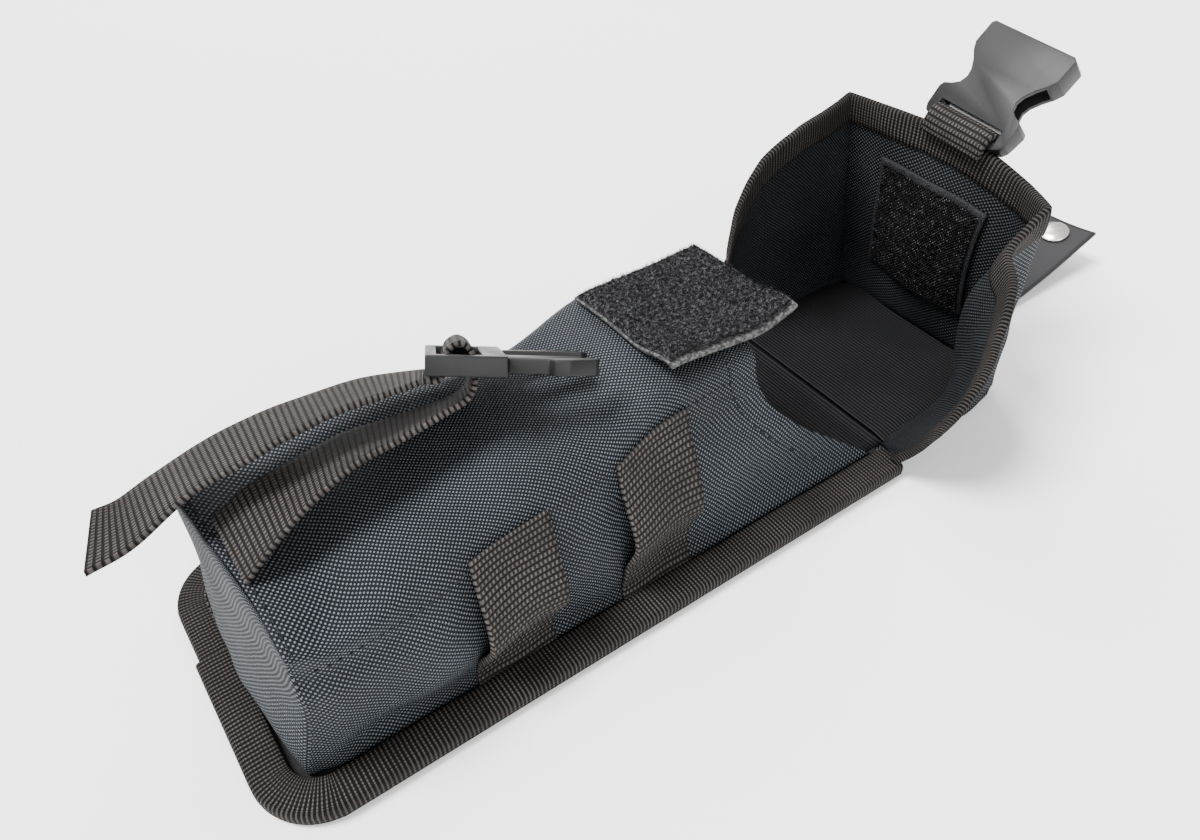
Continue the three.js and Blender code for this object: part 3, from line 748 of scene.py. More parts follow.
def top_place(u, across):
    """The front panel, u from ridge to mouth, across from near to far."""
    place = shoulder(-1, u).lerp(shoulder(1, u), across)
    crown = mix(3 * MM * smooth(u / 0.5), 2 * MM, clamp((u - 0.7) / 0.3))
    place.z += crown * (1 - (2 * across - 1) ** 2)
    # The panel sinks behind the ridge seam and creases towards the near corner.
    place.z -= 2.6 * MM * bump_at(u, 0.1, 0.1) * math.sin(math.pi * clamp(across)) ** 0.5
    crease = bump_at(u - 0.55 * across, 0.02, 0.09) * smooth(1 - across / 0.5)
    place.z -= 1.6 * MM * crease * smooth(u / 0.08)
    # It stands fuller along the far edge, behind the strap.
    place.z += 8 * MM * bump_at(u, 0.36, 0.3) * smooth((across - 0.6) / 0.4)
    return place


def side_place(side, u, height):
    """A side wall, height 0 at the base and 1 at the shoulder."""
    start_x = mix(END_FOOT_X, RIDGE_X + 0.3 * MM, smooth(height * 1.5))
    end_x = line_value(MOUTH_EDGE, height) * MM
    base = Vector((0, side * POCKET_HALF, BASE_Z - 0.6 * MM))
    top = shoulder(side, u)
    place = base.lerp(top, height)
    place.x = mix(start_x, end_x, u)
    tuck = math.sin(math.pi * clamp(height))
    swell = 3.2 * MM * tuck**0.8 * smooth(1 - (u - 0.35) / 0.5)
    wave = math.cos(2 * math.pi * (place.x / MM + 8) / 49)
    swell += 2.0 * MM * tuck * wave * smooth(u / 0.2) * smooth((0.95 - u) / 0.3)
    swell -= 3.2 * MM * bump_at(height, 0.72, 0.5) * smooth((u - 0.55) / 0.4)
    swell -= 3.4 * MM * bump_at(height, 0.17, 0.17) * smooth(u / 0.12)
    swell -= 1.8 * MM * bump_at(height, 0.83, 0.14) * smooth(1 - (u - 0.15) / 0.35)
    round_corner = 2.2 * MM * (1 - smooth(u / 0.05))
    place.y += side * (swell - round_corner)
    return place


def skin_corner(u, v):
    """The pocket's skin before its shoulders are rounded: up, over and down."""
    if v < SIDE_SHARE:
        return side_place(-1, u, v / SIDE_SHARE)
    if v > 1 - SIDE_SHARE:
        return side_place(1, u, (1 - v) / SIDE_SHARE)
    return top_place(u, (v - SIDE_SHARE) / (1 - 2 * SIDE_SHARE))


def skin_place(u, v):
    """The pocket's skin, with rounded shoulders, puckers and a full end."""
    round_share = mix(0.012, 0.05, smooth(u / 0.5)) - 0.018 * smooth((u - 0.6) / 0.25)
    reach = min(round_share, v, 1 - v)
    spots = [skin_corner(u, v + reach * k / 3) for k in range(-3, 4)]
    place = sum(spots, Vector()) / len(spots)
    # The end bulges out below the strap.
    place.x -= 4.5 * MM * bump_at(v, 0.66, 0.28) * (1 - smooth(u / 0.14))
    place.z += wander(place, 22 * MM, 0.7 * MM, 5)
    place.y += wander(place, 16 * MM, 0.6 * MM, 8) * smooth(min(v, 1 - v) / 0.1)
    return place


def end_place(u, v):
    """The end wall, u up and v across, joined to the skin and swelling over the tape."""
    height = u * SIDE_SHARE
    near, far = skin_place(0, height), skin_place(0, 1 - height)
    place = near.lerp(far, v)
    ridge = skin_place(0, mix(SIDE_SHARE, 1 - SIDE_SHARE, v))
    place.z += (ridge.z - place.z) * smooth((u - 0.75) / 0.25)
    place.x += (ridge.x - place.x) * smooth((u - 0.5) / 0.5)
    across = math.sin(math.pi * v)
    place.x -= 6.5 * MM * math.sin(math.pi * u**0.7) * math.sqrt(max(across, 0))
    place.x += wander(place, 14 * MM, 0.9 * MM, 3) * across
    return place


def sew_pocket():
    """The skin of front panel and sides in one, and the end wall."""

    def cloth(u, v):
        return skin_corner(u, v).x, v * POCKET_GIRTH

    bm = grid(skin_place, 150, 150, cloth)
    to_piece(
        "pocket_cloth", bm, finishes()["cloth"], "body",
        ["front_panel", "near_gusset", "far_gusset"], CLOTH,
    )
    bm = grid(end_place, 50, 80, scaled(*END_SIZE))
    to_piece("pocket_end", bm, finishes()["cloth"], "body", ["bottom_gusset"], CLOTH)


# ---- Webbing loops ----------------------------------------
# Each loop: share of the wall's height, distance off the wall in mm, from foot to top.
LOOP_LINE = [
    (0.03, 1.5), (0.10, 1.5), (0.17, 1.6), (0.24, 2.2), (0.31, 3.6), (0.40, 6.0),
    (0.48, 7.4), (0.56, 7.2), (0.70, 5.2), (0.84, 3.2), (1.0, 1.7),
]
LOOP_LEAN = 6 * MM
LOOP_TOP_SHARE = {"webbing_loop_1": 0.93, "webbing_loop_2": 0.88}


def sew_loop(node):
    """A loop of webbing that stands off the near wall between its sewn ends."""
    low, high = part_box(node)
    top_share = LOOP_TOP_SHARE[node]
    wall_tall = 48 * MM
    line = Path([Vector((height * wall_tall, off * MM, 0)) for height, off in LOOP_LINE])

    def place(u, v):
        spot = line.at(v)
        height = spot.x / wall_tall * top_share
        off = spot.y / MM
        x = low.x + u * 2 * WEB_HALF + LOOP_LEAN * v
        start, end = side_place(-1, 0, height).x, side_place(-1, 1, height).x
        wall = skin_place(clamp((x - start) / (end - start)), height * SIDE_SHARE)
        sway = wander(Vector((x, 0, v * 0.05)), 14 * MM, 0.8 * MM, 6)
        return Vector((x, wall.y - off * MM + sway, wall.z + 0.3 * off * MM))

    bm = grid(place, 16, 60, lambda u, v: (v * line.length, u * 2 * WEB_HALF))
    to_piece(f"{node}_cloth", bm, finishes()["webbing"], "body", [node], WEB)


def sew_loops():
    """Both loops on the near wall."""
    for node in LOOP_TOP_SHARE:
        sew_loop(node)


# ---- Closure tab ------------------------------------------
TAB_CURL = 5 * MM
TAB_BACK = 3.2 * MM
FIBRES = 12000


def tab_place(u, v):
    """The tab, u from its sewn end to its free end, v from near to far."""
    x = mix(TAB_LOW.x, FLAP_HIGH.x, u) - TAB_BACK
    y = mix(TAB_LOW.y, TAB_HIGH.y, v)
    along = min((x - RIDGE_X) / (MOUTH_X - RIDGE_X), 1)
    near, far = shoulder(-1, along).y, shoulder(1, along).y
    place = top_place(along, clamp((y - near) / (far - near)))
    past = clamp((x - MOUTH_X) / (20 * MM))
    curl = TAB_CURL * past**1.6 * smooth((0.45 - v) / 0.45)
    stand = mix(6, 2.6, clamp(u)) * MM * smooth((0.45 - v) / 0.45)
    z = place.z + 2.4 * MM + 1.0 * MM * past + curl + stand
    y += 2.2 * MM * smooth((0.3 - v) / 0.3) * (1 - u)
    x -= 2.2 * MM * past * smooth((0.3 - v) / 0.3)
    return Vector((x, y + 1.5 * MM * past * smooth((0.3 - v) / 0.3), z))


def blend_tab(piece):
    """Bake a piece's transform into its mesh."""
    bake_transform(piece)


def sew_tab():
    """The backing of the tab, its pile and the loose fibres."""
    finish = finishes()

    def backing(u, v):
        return tab_place(u, v) + Vector((0, 0, 0.2 * MM))

    bm = grid(backing, 70, 60, scaled(*TAB_SIZE))
    piece = to_piece(
        "tab_backing", bm, finish["selvage"], None, ["closure_tab", "closure_tab_flap"], 1.3 * MM
    )
    blend_tab(piece)

    def pile(u, v):
        u = mix(0.01, 0.965, u)
        v = mix(0.035, 0.975, v)
        place = tab_place(u, v)
        edge = smooth(min(u, 1 - u, v, 1 - v) / 0.04)
        tuft = wander(place, 0.9 * MM, 0.55 * MM, 1) + wander(place, 2.4 * MM, 0.4 * MM, 2)
        return place + Vector((0, 0, 0.25 * MM + edge * (1.1 * MM + tuft)))

    bm = grid(pile, 190, 190, scaled(*TAB_SIZE))
    piece = to_piece("tab_pile", bm, finish["pile"], None)
    blend_tab(piece)

    # Loose fibres that stand off the pile, thickest along its edges.
    chance = random.Random(7)
    bm = bmesh.new()
    bmesh.ops.create_grid(bm, x_segments=2 * FIBRES - 1, y_segments=1, size=1)
    bm.faces.ensure_lookup_table()
    between = [bm.faces[index] for index in range(1, 2 * FIBRES - 1, 2)]
    bmesh.ops.delete(bm, geom=between, context="FACES_ONLY")
    bm.verts.ensure_lookup_table()
    for index in range(FIBRES):
        u, v = chance.random(), chance.random()
        if index % 4 == 0:
            u, v = chance.choice(((u, 0.0), (u, 1.0), (1.0, v)))
        root = pile(u, v)
        lean = Vector([chance.uniform(-1, 1) for _ in range(3)])
        lean.z = abs(lean.z) + 0.3
        lean *= chance.uniform(0.5, 1.2) * MM
        wide = Vector((chance.uniform(-1, 1), chance.uniform(-1, 1), 0)) * 0.06 * MM
        bm.verts[2 * index].co = root - wide
        bm.verts[2 * index + 1].co = root + wide
        bm.verts[2 * FIBRES + 2 * index].co = root + lean - wide / 2
        bm.verts[2 * FIBRES + 2 * index + 1].co = root + lean + wide / 2
    piece = to_piece("tab_fibres", bm, finish["pile"], None)
    blend_tab(piece)


# ---- Lid --------------------------------------------------
# The lid's wall in three parts, from the near end of the fold to the far end. Each
# station: its place on the free edge, its foot on the lid's floor, and how far it
# bellies out half-way up (dented below zero), all in mm.
NEAR_PART = [
    ((107, -47.5, 5), (109, -45.5, 3.5), 0), ((107, -56, 20), (110, -45.5, 3), 0),
    ((108, -62, 35), (113, -45, 2.5), 1.5), ((114, -64, 50), (120, -44.5, 2.5), 3),
    ((121, -61, 60), (129, -44, 2.5), 2), ((132, -54.5, 70), (140, -44, 2.5), -3.5),
    ((142, -44.5, 74), (154, -43.5, 2.5), -8), ((158.5, -43, 82.5), (171, -39, 2.5), 0),
]
FRONT_PART = [
    ((158.5, -43, 82.5), (171, -39, 2.5), 0), ((164.5, -30, 83), (176.5, -28, 2.5), -4),
    ((168, -10, 85.3), (177.8, -9, 2.5), -8), ((168.3, 10, 86), (177.8, 10, 2.5), -8),
    ((166, 30, 85.8), (177, 30, 2.5), -3), ((161, 44, 87), (175, 43, 2.5), 0),
]
FAR_PART = [
    ((161, 44, 87), (175, 43, 2.5), 0), ((150, 44.5, 83), (160, 44, 2.5), 2),
    ((136, 44, 80), (146, 44, 2.5), 2), ((121, 44, 73), (133, 44, 2.5), 2),
    ((112, 44, 60), (121, 44, 2.5), 1.5), ((109.5, 44.5, 45), (114, 44.5, 2.5), 1),
    ((109.5, 45.5, 25), (112, 45, 3), 0), ((110, 46.5, 6), (111, 46, 4.5), 0),
]
NEAR_EAR, FAR_EAR = 0.38, 0.64  # where the parts meet, as shares of the way round
LID_MIDDLE = mm(142, 0, 30)


def lid_station(u):
    """The free edge, the foot and the belly of the lid's wall, u of the way round."""
    for part, start, end in (
        (NEAR_PART, 0, NEAR_EAR), (FRONT_PART, NEAR_EAR, FAR_EAR), (FAR_PART, FAR_EAR, 1),
    ):
        if u <= end:
            share = (u - start) / (end - start)
            rim = through([mm(*station[0]) for station in part], share)
            foot = through([mm(*station[1]) for station in part], share)
            belly = through([Vector((station[2], 0)) for station in part], share).x * MM
            return rim, foot, belly
    return lid_station(1)


def lid_wall_place(u, v):
    """The lid's wall: u round the floor from near to far, v up."""
    rim, foot, belly = lid_station(u)
    place = foot.lerp(rim, v)
    outward = place - LID_MIDDLE
    outward.z = 0
    outward.normalize()
    place += outward * belly * math.sin(math.pi * v**0.8)
    ripple = wander(place, 17 * MM, 1.6 * MM, 9) * math.sin(math.pi * v)
    # A crease runs down the near wall from its dent.
    fold = bump_at(u, 0.33, 0.05) * bump_at(v, 0.6, 0.45)
    return place + outward * (ripple - 4 * MM * fold)


def lid_wall_cloth(u, v):
    """The weave place on the lid's wall."""
    rim, foot = lid_station(u)[:2]
    return u * LID_GIRTH, v * (rim - foot).length


def blend_lid(piece):
    """Bake a piece's transform into its mesh."""
    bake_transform(piece)


def sew_lid_walls():
    """The lid's wall in one piece, outside and inside, the inside in a darker copy of the cloth as
    painted shade.
    """
    bm = grid(lid_wall_place, 230, 50, lid_wall_cloth)
    nodes = ["near_cheek", "far_cheek", "lid_front_panel"]
    piece = to_piece("lid_wall_cloth", bm, finishes()["cloth"], None, nodes, CLOTH)
    blend_lid(piece)

    def inside(u, v):
        outward = facing(lid_wall_place, clamp(u, 0.006, 0.994), clamp(v, 0.02, 0.97))
        place = lid_wall_place(u, v) - outward * 1.5 * MM
        # It rounds into the floor, widest along the near wall.
        spread = mix(3, 8, smooth(1 - abs(u - 0.2) / 0.2)) * MM * (1 - smooth(v / 0.3))
        place -= Vector((outward.x, outward.y, 0)).normalized() * spread
        place.z = max(place.z, LINING_HIGH.z + 0.5 * MM - 2 * MM * smooth(0.03 - v))
        return place

    # The inside skin takes the darker copy of the cloth, painted shade inside the lid.
    bm = grid(inside, 200, 40, lid_wall_cloth, flip=True)
    piece = to_piece("lid_wall_inside", bm, finishes()["inside"], None)
    blend_lid(piece)


def bind_lid():
    """Binding tape folded over the lid's free edge."""
    width = bpy.context.scene.bag_sizes.tape_width
    length = sum((lid_station((i + 1) / 60)[0] - lid_station(i / 60)[0]).length for i in range(60))
    section = [
        Vector(pair) * MM
        for pair in [(-9.5, 0.7), (-6, 1.0), (-2, 1.0), (0.2, 0.8), (0.7, 0.2),
                     (0.7, -0.9), (0.2, -1.7), (-2, -2.1), (-6, -2.3), (-9.5, -2.1)]
    ]

    def place(u, v):
        across = through(section, v)
        rim = lid_wall_place(u, 1)
        tall = max((rim - lid_wall_place(u, 0)).length, 4 * MM)
        depth = clamp(1 + across.x / tall * (width / (10 * MM)), 0, 1)
        down = lid_wall_place(u, depth) if across.x < 0 else rim
        outward = facing(lid_wall_place, clamp(u, 0.004, 0.996), clamp(depth, 0.2, 0.99))
        up = (rim - lid_wall_place(u, 0.9)).normalized()
        above = up * max(across.x, 0)
        ripple = wander(down, 7 * MM, 0.3 * MM, 12)
        return down + above + outward * (across.y + ripple)

    bm = grid(place, 330, 18, scaled(length, TAPE_GIRTH))
    nodes = ["near_cheek_binding", "far_cheek_binding", "lid_rim_binding"]
    piece = to_piece("lid_binding_cloth", bm, finishes()["tape"], None, nodes, TAPE * 0.8)
    blend_lid(piece)


# The near and far edges of the lid's floor: place along the bag, place across, in mm.
FLOOR_EDGE = [(150, -43.5), (165, -41.2), (171, -38.5), (178, -27)]
FLOOR_FAR_EDGE = [(150, 45.5), (168, 44.0), (173, 42.5), (178, 33)]


def floor_span(x, low, high, inset):
    """Where the lid's floor starts and ends across the bag, inside its rounded corners."""
    near = max(low, line_value(FLOOR_EDGE, x / MM) * MM + inset)
    far = min(high, line_value(FLOOR_FAR_EDGE, x / MM) * MM - inset)
    return near, far


def sew_lid_floor():
    """The cloth outside the lid's floor and the lining inside."""
    finish = finishes()

    def outer(u, v):
        x = mix(FLOOR_LOW.x - 1 * MM, FLOOR_HIGH.x + 0.6 * MM, u)
        y = mix(*floor_span(x, -1, FLOOR_HIGH.y + 1 * MM, 0), v)
        sag = 0.5 * MM * math.sin(math.pi * u) * math.sin(math.pi * v)
        return Vector((x, y, FLOOR_HIGH.z - sag))

    size = scaled(FLOOR_HIGH.x - FLOOR_LOW.x, FLOOR_HIGH.y - FLOOR_LOW.y)
    bm = grid(outer, 40, 50, size)
    to_piece("lid_cloth", bm, finish["cloth"], "lid", ["lid_panel"], CLOTH)

    def inner(u, v):
        x = mix(LINING_LOW.x, LINING_HIGH.x, u)
        y = mix(*floor_span(x, -1, LINING_HIGH.y, 1.5 * MM), v)
        edge = smooth(min(v, 1 - v) / 0.12) * smooth((1 - u) / 0.1)
        puff = 1.2 * MM * edge + wander(Vector((x, y, 0)), 15 * MM, 0.5 * MM, 4) * edge
        return Vector((x, y, LINING_HIGH.z + puff))

    size = scaled(LINING_HIGH.x - LINING_LOW.x, LINING_HIGH.y - LINING_LOW.y)
    bm = grid(inner, 60, 60, size)
    to_piece("lid_lining_cloth", bm, finish["lining"], "lid", ["lid_lining"], 0.6 * MM)


def finish_back_board():
    """The back's stiffener, shown as it is."""
    board = frame["nodes"]["back_stiffener"]
    board.data.materials.clear()
    board.data.materials.append(finishes()["board"].material)


def cut_lid_board():
    """The lid's stiffener, rounded to the lid's floor."""
    low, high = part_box("lid_stiffener")

    def place(u, v):
        x = mix(low.x, high.x - 1 * MM, u)
        return Vector((x, mix(*floor_span(x, low.y, high.y, 2 * MM), v), high.z))

    bm = grid(place, 30, 8, scaled(high.x - low.x, high.y - low.y))
    to_piece("lid_board", bm, finishes()["board"], "lid", ["lid_stiffener"], high.z - low.z)


FRONT_TALL = 84 * MM  # the lid's front, up its slope
FRONT_NEAR_Y, FRONT_STEP = -29, 19.7  # its second station and the next, in mm


def sew_hook_patch():
    """Hook tape on the inside of the lid's front, with a sewn edge."""
    finish = finishes()
    front_span = (FAR_EAR - NEAR_EAR) / 5  # one station of the lid's front

    def patch(off, inset):
        def place(u, v):
            z = mix(PATCH_LOW.z + inset, PATCH_HIGH.z - inset, v) + 1.5 * MM
            y = mix(PATCH_LOW.y + inset, PATCH_HIGH.y - inset, u) + 3.5 * MM
            along = NEAR_EAR + front_span * (1 + (y / MM - FRONT_NEAR_Y) / FRONT_STEP)
            height = z / FRONT_TALL
            wall = lid_wall_place(along, height)
            return wall - facing(lid_wall_place, along, height) * off

        return place

    bm = grid(patch(3.0 * MM, 0), 50, 45, scaled(*PATCH_SIZE), flip=True)
    to_piece("patch_edge", bm, finish["thread"], "lid_front", ["hook_patch"], 1.2 * MM)
    bm = grid(patch(3.4 * MM, PATCH_HEM), 120, 110, scaled(46 * MM, 41 * MM), flip=True)
    for vert in bm.verts:
        vert.co.x -= abs(wander(vert.co, 1.1 * MM, 1.2 * MM, 3))
    to_piece("patch_hooks", bm, finish["hooks"], "lid_front")


# ---- Webbing of the buckle --------------------------------
def ribbon(name, stops, body, replaces=(), steps=90, rows=10, thickness=WEB):
    """Webbing through stops, each a middle and a direction across."""
    middles = [middle for middle, across in stops]
    sides = [across for middle, across in stops]
    path = Path(middles)

    def place(u, v):
        across = through(sides, u).normalized()
        return path.at(u) + across * ((v - 0.5) * 2 * WEB_HALF)

    bm = grid(place, steps, rows, scaled(path.length, 2 * WEB_HALF))
    for vert in bm.verts:
        vert.co.z += wander(vert.co, 15 * MM, 0.3 * MM, 2)
    return to_piece(name, bm, finishes()["webbing"], body, replaces, thickness, 0)


def over(x, y, height, yaw, roll):
    """A stop above the ridge seam, in mm, with the webbing's near edge rolled up."""
    across = Vector((0, math.cos(math.radians(roll)), -math.sin(math.radians(roll))))
    across.rotate(Matrix.Rotation(math.radians(yaw), 3, "Z"))
    return Vector((x * MM, y * MM, RIDGE_Z + height * MM)), across


def latch_stop(x, z):
    """A stop in the latch's own section, in mm."""
    turn = turned(*LATCH_AIM)
    return LATCH_PLACE + turn @ mm(x, 0, z), turn @ Vector((0, 1, 0))


# Stops of the strap over the ridge (x, y, height, yaw, roll) and in the latch (x, z).
STRAP_RISE = [
    (-91.0, 0, 1.3, 0, 0), (-78.6, 2.4, 6.6, -4, 6), (-56.8, 5.9, 10.0, -9, 15),
    (-40.9, 6.9, 9.2, -13, 21), (-29.4, 7.2, 9.2, -17, 26), (-20.8, 7.5, 9.8, -20, 30),
]
STRAP_WRAP = [
    (3.7, -2.4), (3.7, 1.2), (2.6, 4.0), (0, 5.4), (-2.6, 4.0), (-3.7, 1.2), (-4.0, -2.0),
    (-5.4, -4.2), (-9.6, -4.6),
]
STRAP_TAIL = [
    (-46.6, 15.8, 18.6, -15, 27), (-64.2, 17.6, 17.8, -10, 25), (-77, 18.8, 15.4, -8, 22),
    (-89.8, 21.0, 11.4, -4, 19), (-99.5, 20.8, 8.2, -2, 20), (-109.5, 18.5, 6.2, -2, 16),
    (-117.8, 16.4, 7.2, -13, 10),
]


def sew_strap():
    """One webbing in three pieces: up from the ridge, round the latch and down."""
    wrap = [latch_stop(*stop) for stop in STRAP_WRAP]
    rise = [over(*stop) for stop in STRAP_RISE] + [latch_stop(4.0, -5.6), wrap[0]]
    piece = ribbon("front_strap_web", rise, None, ["front_strap"])
    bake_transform(piece)
    ribbon("strap_wrap_web", wrap, "male_buckle", ["strap_wrap"], 60)
    tail = [wrap[-1]] + [over(*stop) for stop in STRAP_TAIL]
    piece = ribbon("strap_tail_web", tail, None, ["strap_tail"], 110)
    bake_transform(piece)


# Section of the loop that holds the socket, in the socket's own x and z, in mm.
LOOP_SECTION = [
    (-0.6, -2.6), (1.2, -3.8), (3.4, -4.4), (6.2, -4.2), (7.8, -2.0), (8.0, 0), (7.8, 2.0),
    (6.2, 4.2), (3.4, 4.4), (1.2, 3.4), (-0.8, 1.4),
]


def sew_lid_webbing():
    """The webbing on the lid's front and its loop through the socket."""
    turn = turned(*SOCKET_AIM)
    across = turn @ Vector((0, 1, 0))
    loop = [(SOCKET_PLACE + turn @ mm(x, 0, z), across) for x, z in LOOP_SECTION]
    ribbon("lid_loop_web", loop, "female_buckle", ["lid_webbing_loop"], 50, thickness=2.4 * MM)

    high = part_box("lid_webbing")[1]
    lean = math.radians(LID_LEAN)
    def sewn_stop(height):
        foot = WALL_FOOT + Vector((math.cos(lean), 0, math.sin(lean))) * LID_WEB_OFF
        up = Vector((-math.sin(lean), 0, math.cos(lean)))
        return foot + up * height, Vector((0, 1, 0))

    top = (high - WALL_FOOT).z / math.cos(lean)
    stops = [sewn_stop(top - drop * MM) for drop in (30, 15, 2)]
    ribbon("lid_webbing_web", stops, "lid_front", ["lid_webbing"], 30)


def mould_buckle():
    """The buckle's four mouldings, from their own shapes."""
    for node in PLASTIC_NODES:
        hard_piece(node, finishes()["plastic"], node, 0.55 * MM)


# ---- Mounting strap ---------------------------------------
LIFT_START = 195 * MM  # where the strap leaves the table
LIFT = 13 * MM


def cut_mounting_strap():
    """The coated strap under the bag, and its snap."""

    def place(u, v):
        x = mix(STRAP_LOW.x, STRAP_HIGH.x, u)
        away = max((x - LIFT_START) / (STRAP_HIGH.x - LIFT_START), 0)
        beyond = FOLD.x + 60 * MM
        drift = 5 * MM * max((x - beyond) / (STRAP_HIGH.x - beyond), 0)
        z = 1.2 * MM + LIFT * away * away
        slant = 3.0 * MM * smooth((x - STRAP_HIGH.x + 12 * MM) / (12 * MM)) * (0.5 - v)
        cup = 0.8 * MM * (2 * v - 1) ** 2 * away
        return Vector((x + slant, drift + (v - 0.5) * 2 * MOUNT_HALF, z + cup))

    bm = grid(place, 110, 14, scaled(STRAP_HIGH.x - STRAP_LOW.x, 2 * MOUNT_HALF))
    to_piece(
        "mounting_strap_skin", bm, finishes()["coated"], "mounting_strap", ["mounting_strap"],
        1.0 * MM,
    )
    for node in ("snap_cap", "snap_socket"):
        hard_piece(node, finishes()["metal"], "mounting_strap", 0.12 * MM)
    hard_piece("snap_stud", finishes()["metal"], "body", 0.1 * MM)


# ---- Stitching --------------------------------------------
def sew_stitches():
    """The visible rows: along the tape's inner edge and on the pocket."""
    finish = finishes()
    stitch = bpy.context.scene.bag_sizes.stitch

    bm = bmesh.new()
    edge = back_edge_path()

    def inner_edge(share):
        point, ahead = edge.at(share), edge.ahead(share)
        place = point + way_in(point, ahead) * 8.6 * MM
        return Vector((place.x, place.y, TAPE_TOP + 0.42 * MM))

    stitch_row(bm, inner_edge, int(edge.length / stitch), 0.7)
    to_piece("tape_stitches", bm, finish["pale_thread"], "body")

    bm = bmesh.new()
    hem = 10 * MM / (MOUTH_X - RIDGE_X)

    def on_skin(u, v):
        return skin_place(u, v) + facing(skin_place, u, v) * 0.12 * MM

    stitch_row(bm, lambda s: on_skin(1 - hem, mix(0.04, 0.96, s)), 60)
    stitch_row(bm, lambda s: on_skin(mix(0.03, 0.95, s), 0.262), 50, 0.5)
    stitch_row(bm, lambda s: on_skin(0.012, mix(0.31, 0.69, s)), 28)
    to_piece("pocket_stitches", bm, finish["thread"], "body")


# ---- Stage ------------------------------------------------
SKY_STRENGTH = 0.9
SUN_POWER = 8.0
SUN_SPREAD = 24  # degrees
SUN_AIM = (0.42, -0.22, -0.88)
LAMP_POWER = 12.0  # watts
LAMP_TARGET = (0.02, 0, 0.03)
LAMPS = (("fill", (-0.2, -0.9, 0.7), 0.9), ("back", (0.4, 0.9, 0.8), 0.8))
LENS_MM = 28.15
SENSOR_MM = 36
CAMERA_PLACE = (-100, -172, 232.06)  # mm


def aim(light, toward):
    """Turn a light to shine along toward."""
    light.rotation_mode = "QUATERNION"
    light.rotation_quaternion = toward.to_track_quat("-Z", "Y")


def floor_and_lights():
    """A pale floor, an even sky, one soft sun and two lamps."""
    bm = bmesh.new()
    bmesh.ops.create_grid(bm, x_segments=2, y_segments=2, size=4)
    mesh = bpy.data.meshes.new("floor")
    bm.to_mesh(mesh)
    bm.free()
    floor = put("floor", mesh)
    floor.location.z = -0.3 * MM
    paper = Finish("paper", "floor", 0.9)
    fibre = paper.clouds(3, 3.0)
    paper.paint(fibre, rgb((0.93, 0.935, 0.93)), rgb((0.96, 0.96, 0.955)))
    mesh.materials.append(paper.material)

    world = bpy.data.worlds.new("studio")
    bpy.context.scene.world = world
    world.use_nodes = True
    sky = world.node_tree.nodes["Background"]
    sky.inputs["Color"].default_value = (1, 1, 1, 1)
    sky.inputs["Strength"].default_value = SKY_STRENGTH

    sun = bpy.data.lights.new("key", "SUN")
    sun.energy = SUN_POWER
    sun.angle = math.radians(SUN_SPREAD)
    aim(put("key", sun), Vector(SUN_AIM))
    for name, place, size in LAMPS:
        lamp = bpy.data.lights.new(name, "AREA")
        lamp.energy = LAMP_POWER
        lamp.size = size
        light = put(name, lamp)
        light.location = place
        aim(light, Vector(LAMP_TARGET) - Vector(place))


def camera():
    """The view that the rest pose is seen in."""
    right = Vector((0.81719, -0.57632, -0.00691))
    down = Vector((-0.39712, -0.55431, -0.73146))
    ahead = Vector((0.41773, 0.60049, -0.68185))
    lens = bpy.data.cameras.new("camera")
    lens.sensor_width = SENSOR_MM
    lens.lens = LENS_MM
    lens.clip_start = 0.01
    seen = put("camera", lens)
    turn = Matrix((right, -down, -ahead)).transposed().to_4x4()
    seen.matrix_world = Matrix.Translation(mm(*CAMERA_PLACE)) @ turn
    bpy.context.scene.camera = seen


# ---- Operators --------------------------------------------
class Step:
    """What the operators share: each runs its own functions in turn."""

    jobs = ()

    def execute(self, context):
        for job in self.jobs:
            job()
        return {"FINISHED"}


class SewBack(Step, bpy.types.Operator):
    """Sew the back panel, its lining and its binding tape"""

    bl_idname = "saddle_bag.sew_back"
    bl_label = "Back and binding"
    jobs = (bind_whole_back, back_floor, pocket_floor, fold_cloth)


class SewPocket(Step, bpy.types.Operator):
    """Sew the pocket's front, sides and end"""

    bl_idname = "saddle_bag.sew_pocket"
    bl_label = "Pocket"
    jobs = (sew_pocket,)


class SewLoops(Step, bpy.types.Operator):
    """Sew the two webbing loops on the near side"""

    bl_idname = "saddle_bag.sew_loops"
    bl_label = "Webbing loops"
    jobs = (sew_loops,)


class SewTab(Step, bpy.types.Operator):
    """Sew the loop-pile tab on the pocket's mouth"""

    bl_idname = "saddle_bag.sew_tab"
    bl_label = "Closure tab"
    jobs = (sew_tab,)


class SewLid(Step, bpy.types.Operator):
    """Sew the lid's floor, walls, binding and hook patch"""

    bl_idname = "saddle_bag.sew_lid"
    bl_label = "Lid"
    jobs = (sew_lid_floor, sew_lid_walls, bind_lid, sew_hook_patch)


class SewWebbing(Step, bpy.types.Operator):
    """Thread the webbing through both halves of the buckle"""

    bl_idname = "saddle_bag.sew_webbing"
    bl_label = "Webbing"
    jobs = (sew_strap, sew_lid_webbing)


class MouldBuckle(Step, bpy.types.Operator):
    """Mould both halves of the side-release buckle"""

    bl_idname = "saddle_bag.mould_buckle"
    bl_label = "Buckle"
    jobs = (mould_buckle,)


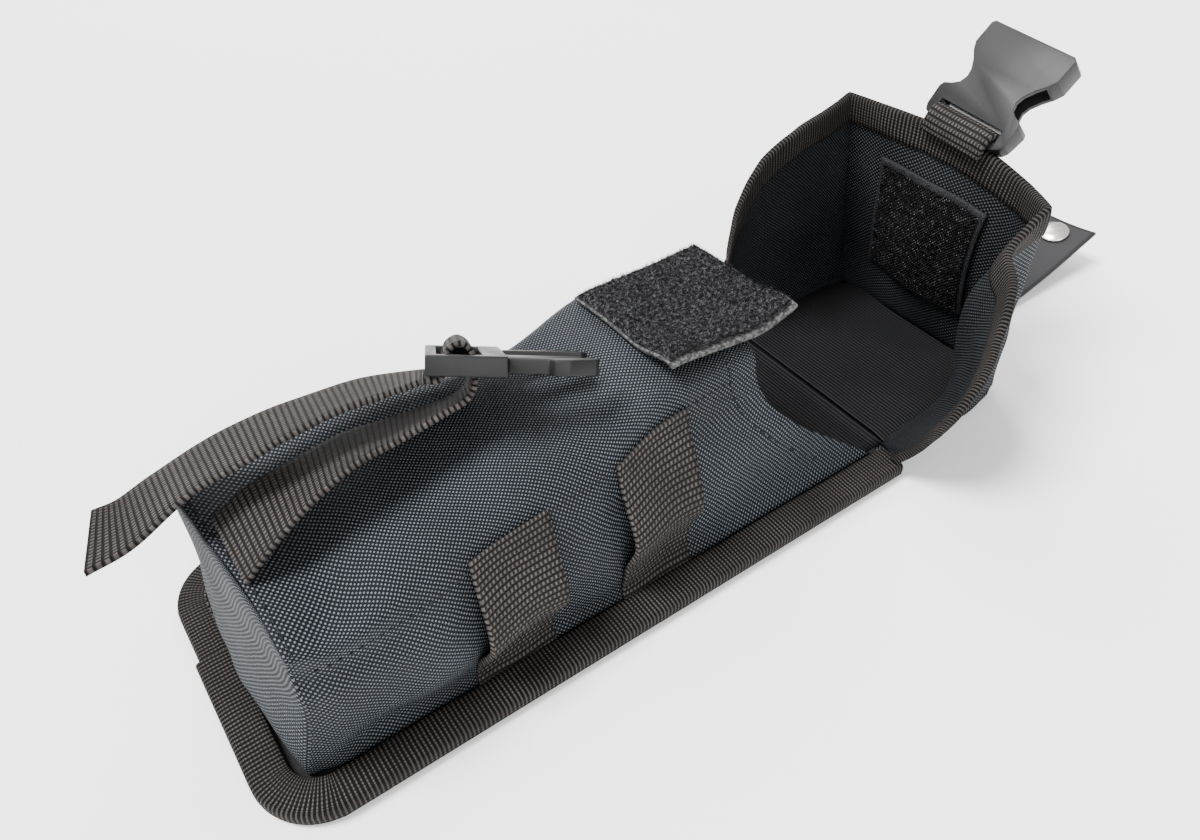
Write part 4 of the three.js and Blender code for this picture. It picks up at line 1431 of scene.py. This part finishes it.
class CutMountingStrap(Step, bpy.types.Operator):
    """Cut the mounting strap and set its snap"""

    bl_idname = "saddle_bag.cut_mounting_strap"
    bl_label = "Mounting strap"
    jobs = (cut_mounting_strap,)


class SewStitches(Step, bpy.types.Operator):
    """Sew the visible rows of stitches"""

    bl_idname = "saddle_bag.sew_stitches"
    bl_label = "Stitches"
    jobs = (sew_stitches,)


class FinishBoards(Step, bpy.types.Operator):
    """Give the hidden stiffeners their finish"""

    bl_idname = "saddle_bag.finish_boards"
    bl_label = "Stiffeners"
    jobs = (finish_back_board, cut_lid_board)


class SetStage(Step, bpy.types.Operator):
    """Lay the pale floor, and set the soft lights and the camera"""

    bl_idname = "saddle_bag.set_stage"
    bl_label = "Stage"
    jobs = (floor_and_lights, camera)


OPERATORS = (
    SetStage, SewBack, SewPocket, SewLoops, SewTab, SewLid, SewWebbing, MouldBuckle,
    CutMountingStrap, SewStitches, FinishBoards,
)


class SaddleBagPanel(bpy.types.Panel):
    """Sizes, colours and steps of the saddle bag"""

    bl_idname = "VIEW3D_PT_saddle_bag"
    bl_label = "Saddle Bag"
    bl_space_type = "VIEW_3D"
    bl_region_type = "UI"
    bl_category = "Saddle Bag"

    def draw(self, context):
        for group in (context.scene.bag_sizes, context.scene.bag_colours):
            for name in group.bl_rna.properties.keys():
                if name not in ("name", "rna_type"):
                    self.layout.prop(group, name)
        for operator in OPERATORS:
            self.layout.operator(operator.bl_idname)


CLASSES = (BagSizes, BagColours, *OPERATORS, SaddleBagPanel)


def register():
    for item in CLASSES:
        bpy.utils.register_class(item)
    bpy.types.Scene.bag_sizes = bpy.props.PointerProperty(type=BagSizes)
    bpy.types.Scene.bag_colours = bpy.props.PointerProperty(type=BagColours)


def unregister():
    del bpy.types.Scene.bag_colours
    del bpy.types.Scene.bag_sizes
    for item in reversed(CLASSES):
        bpy.utils.unregister_class(item)


def main():
    register()
    for operator in OPERATORS:
        group, name = operator.bl_idname.split(".")
        getattr(getattr(bpy.ops, group), name)()


if __name__ == "__main__":
    main()
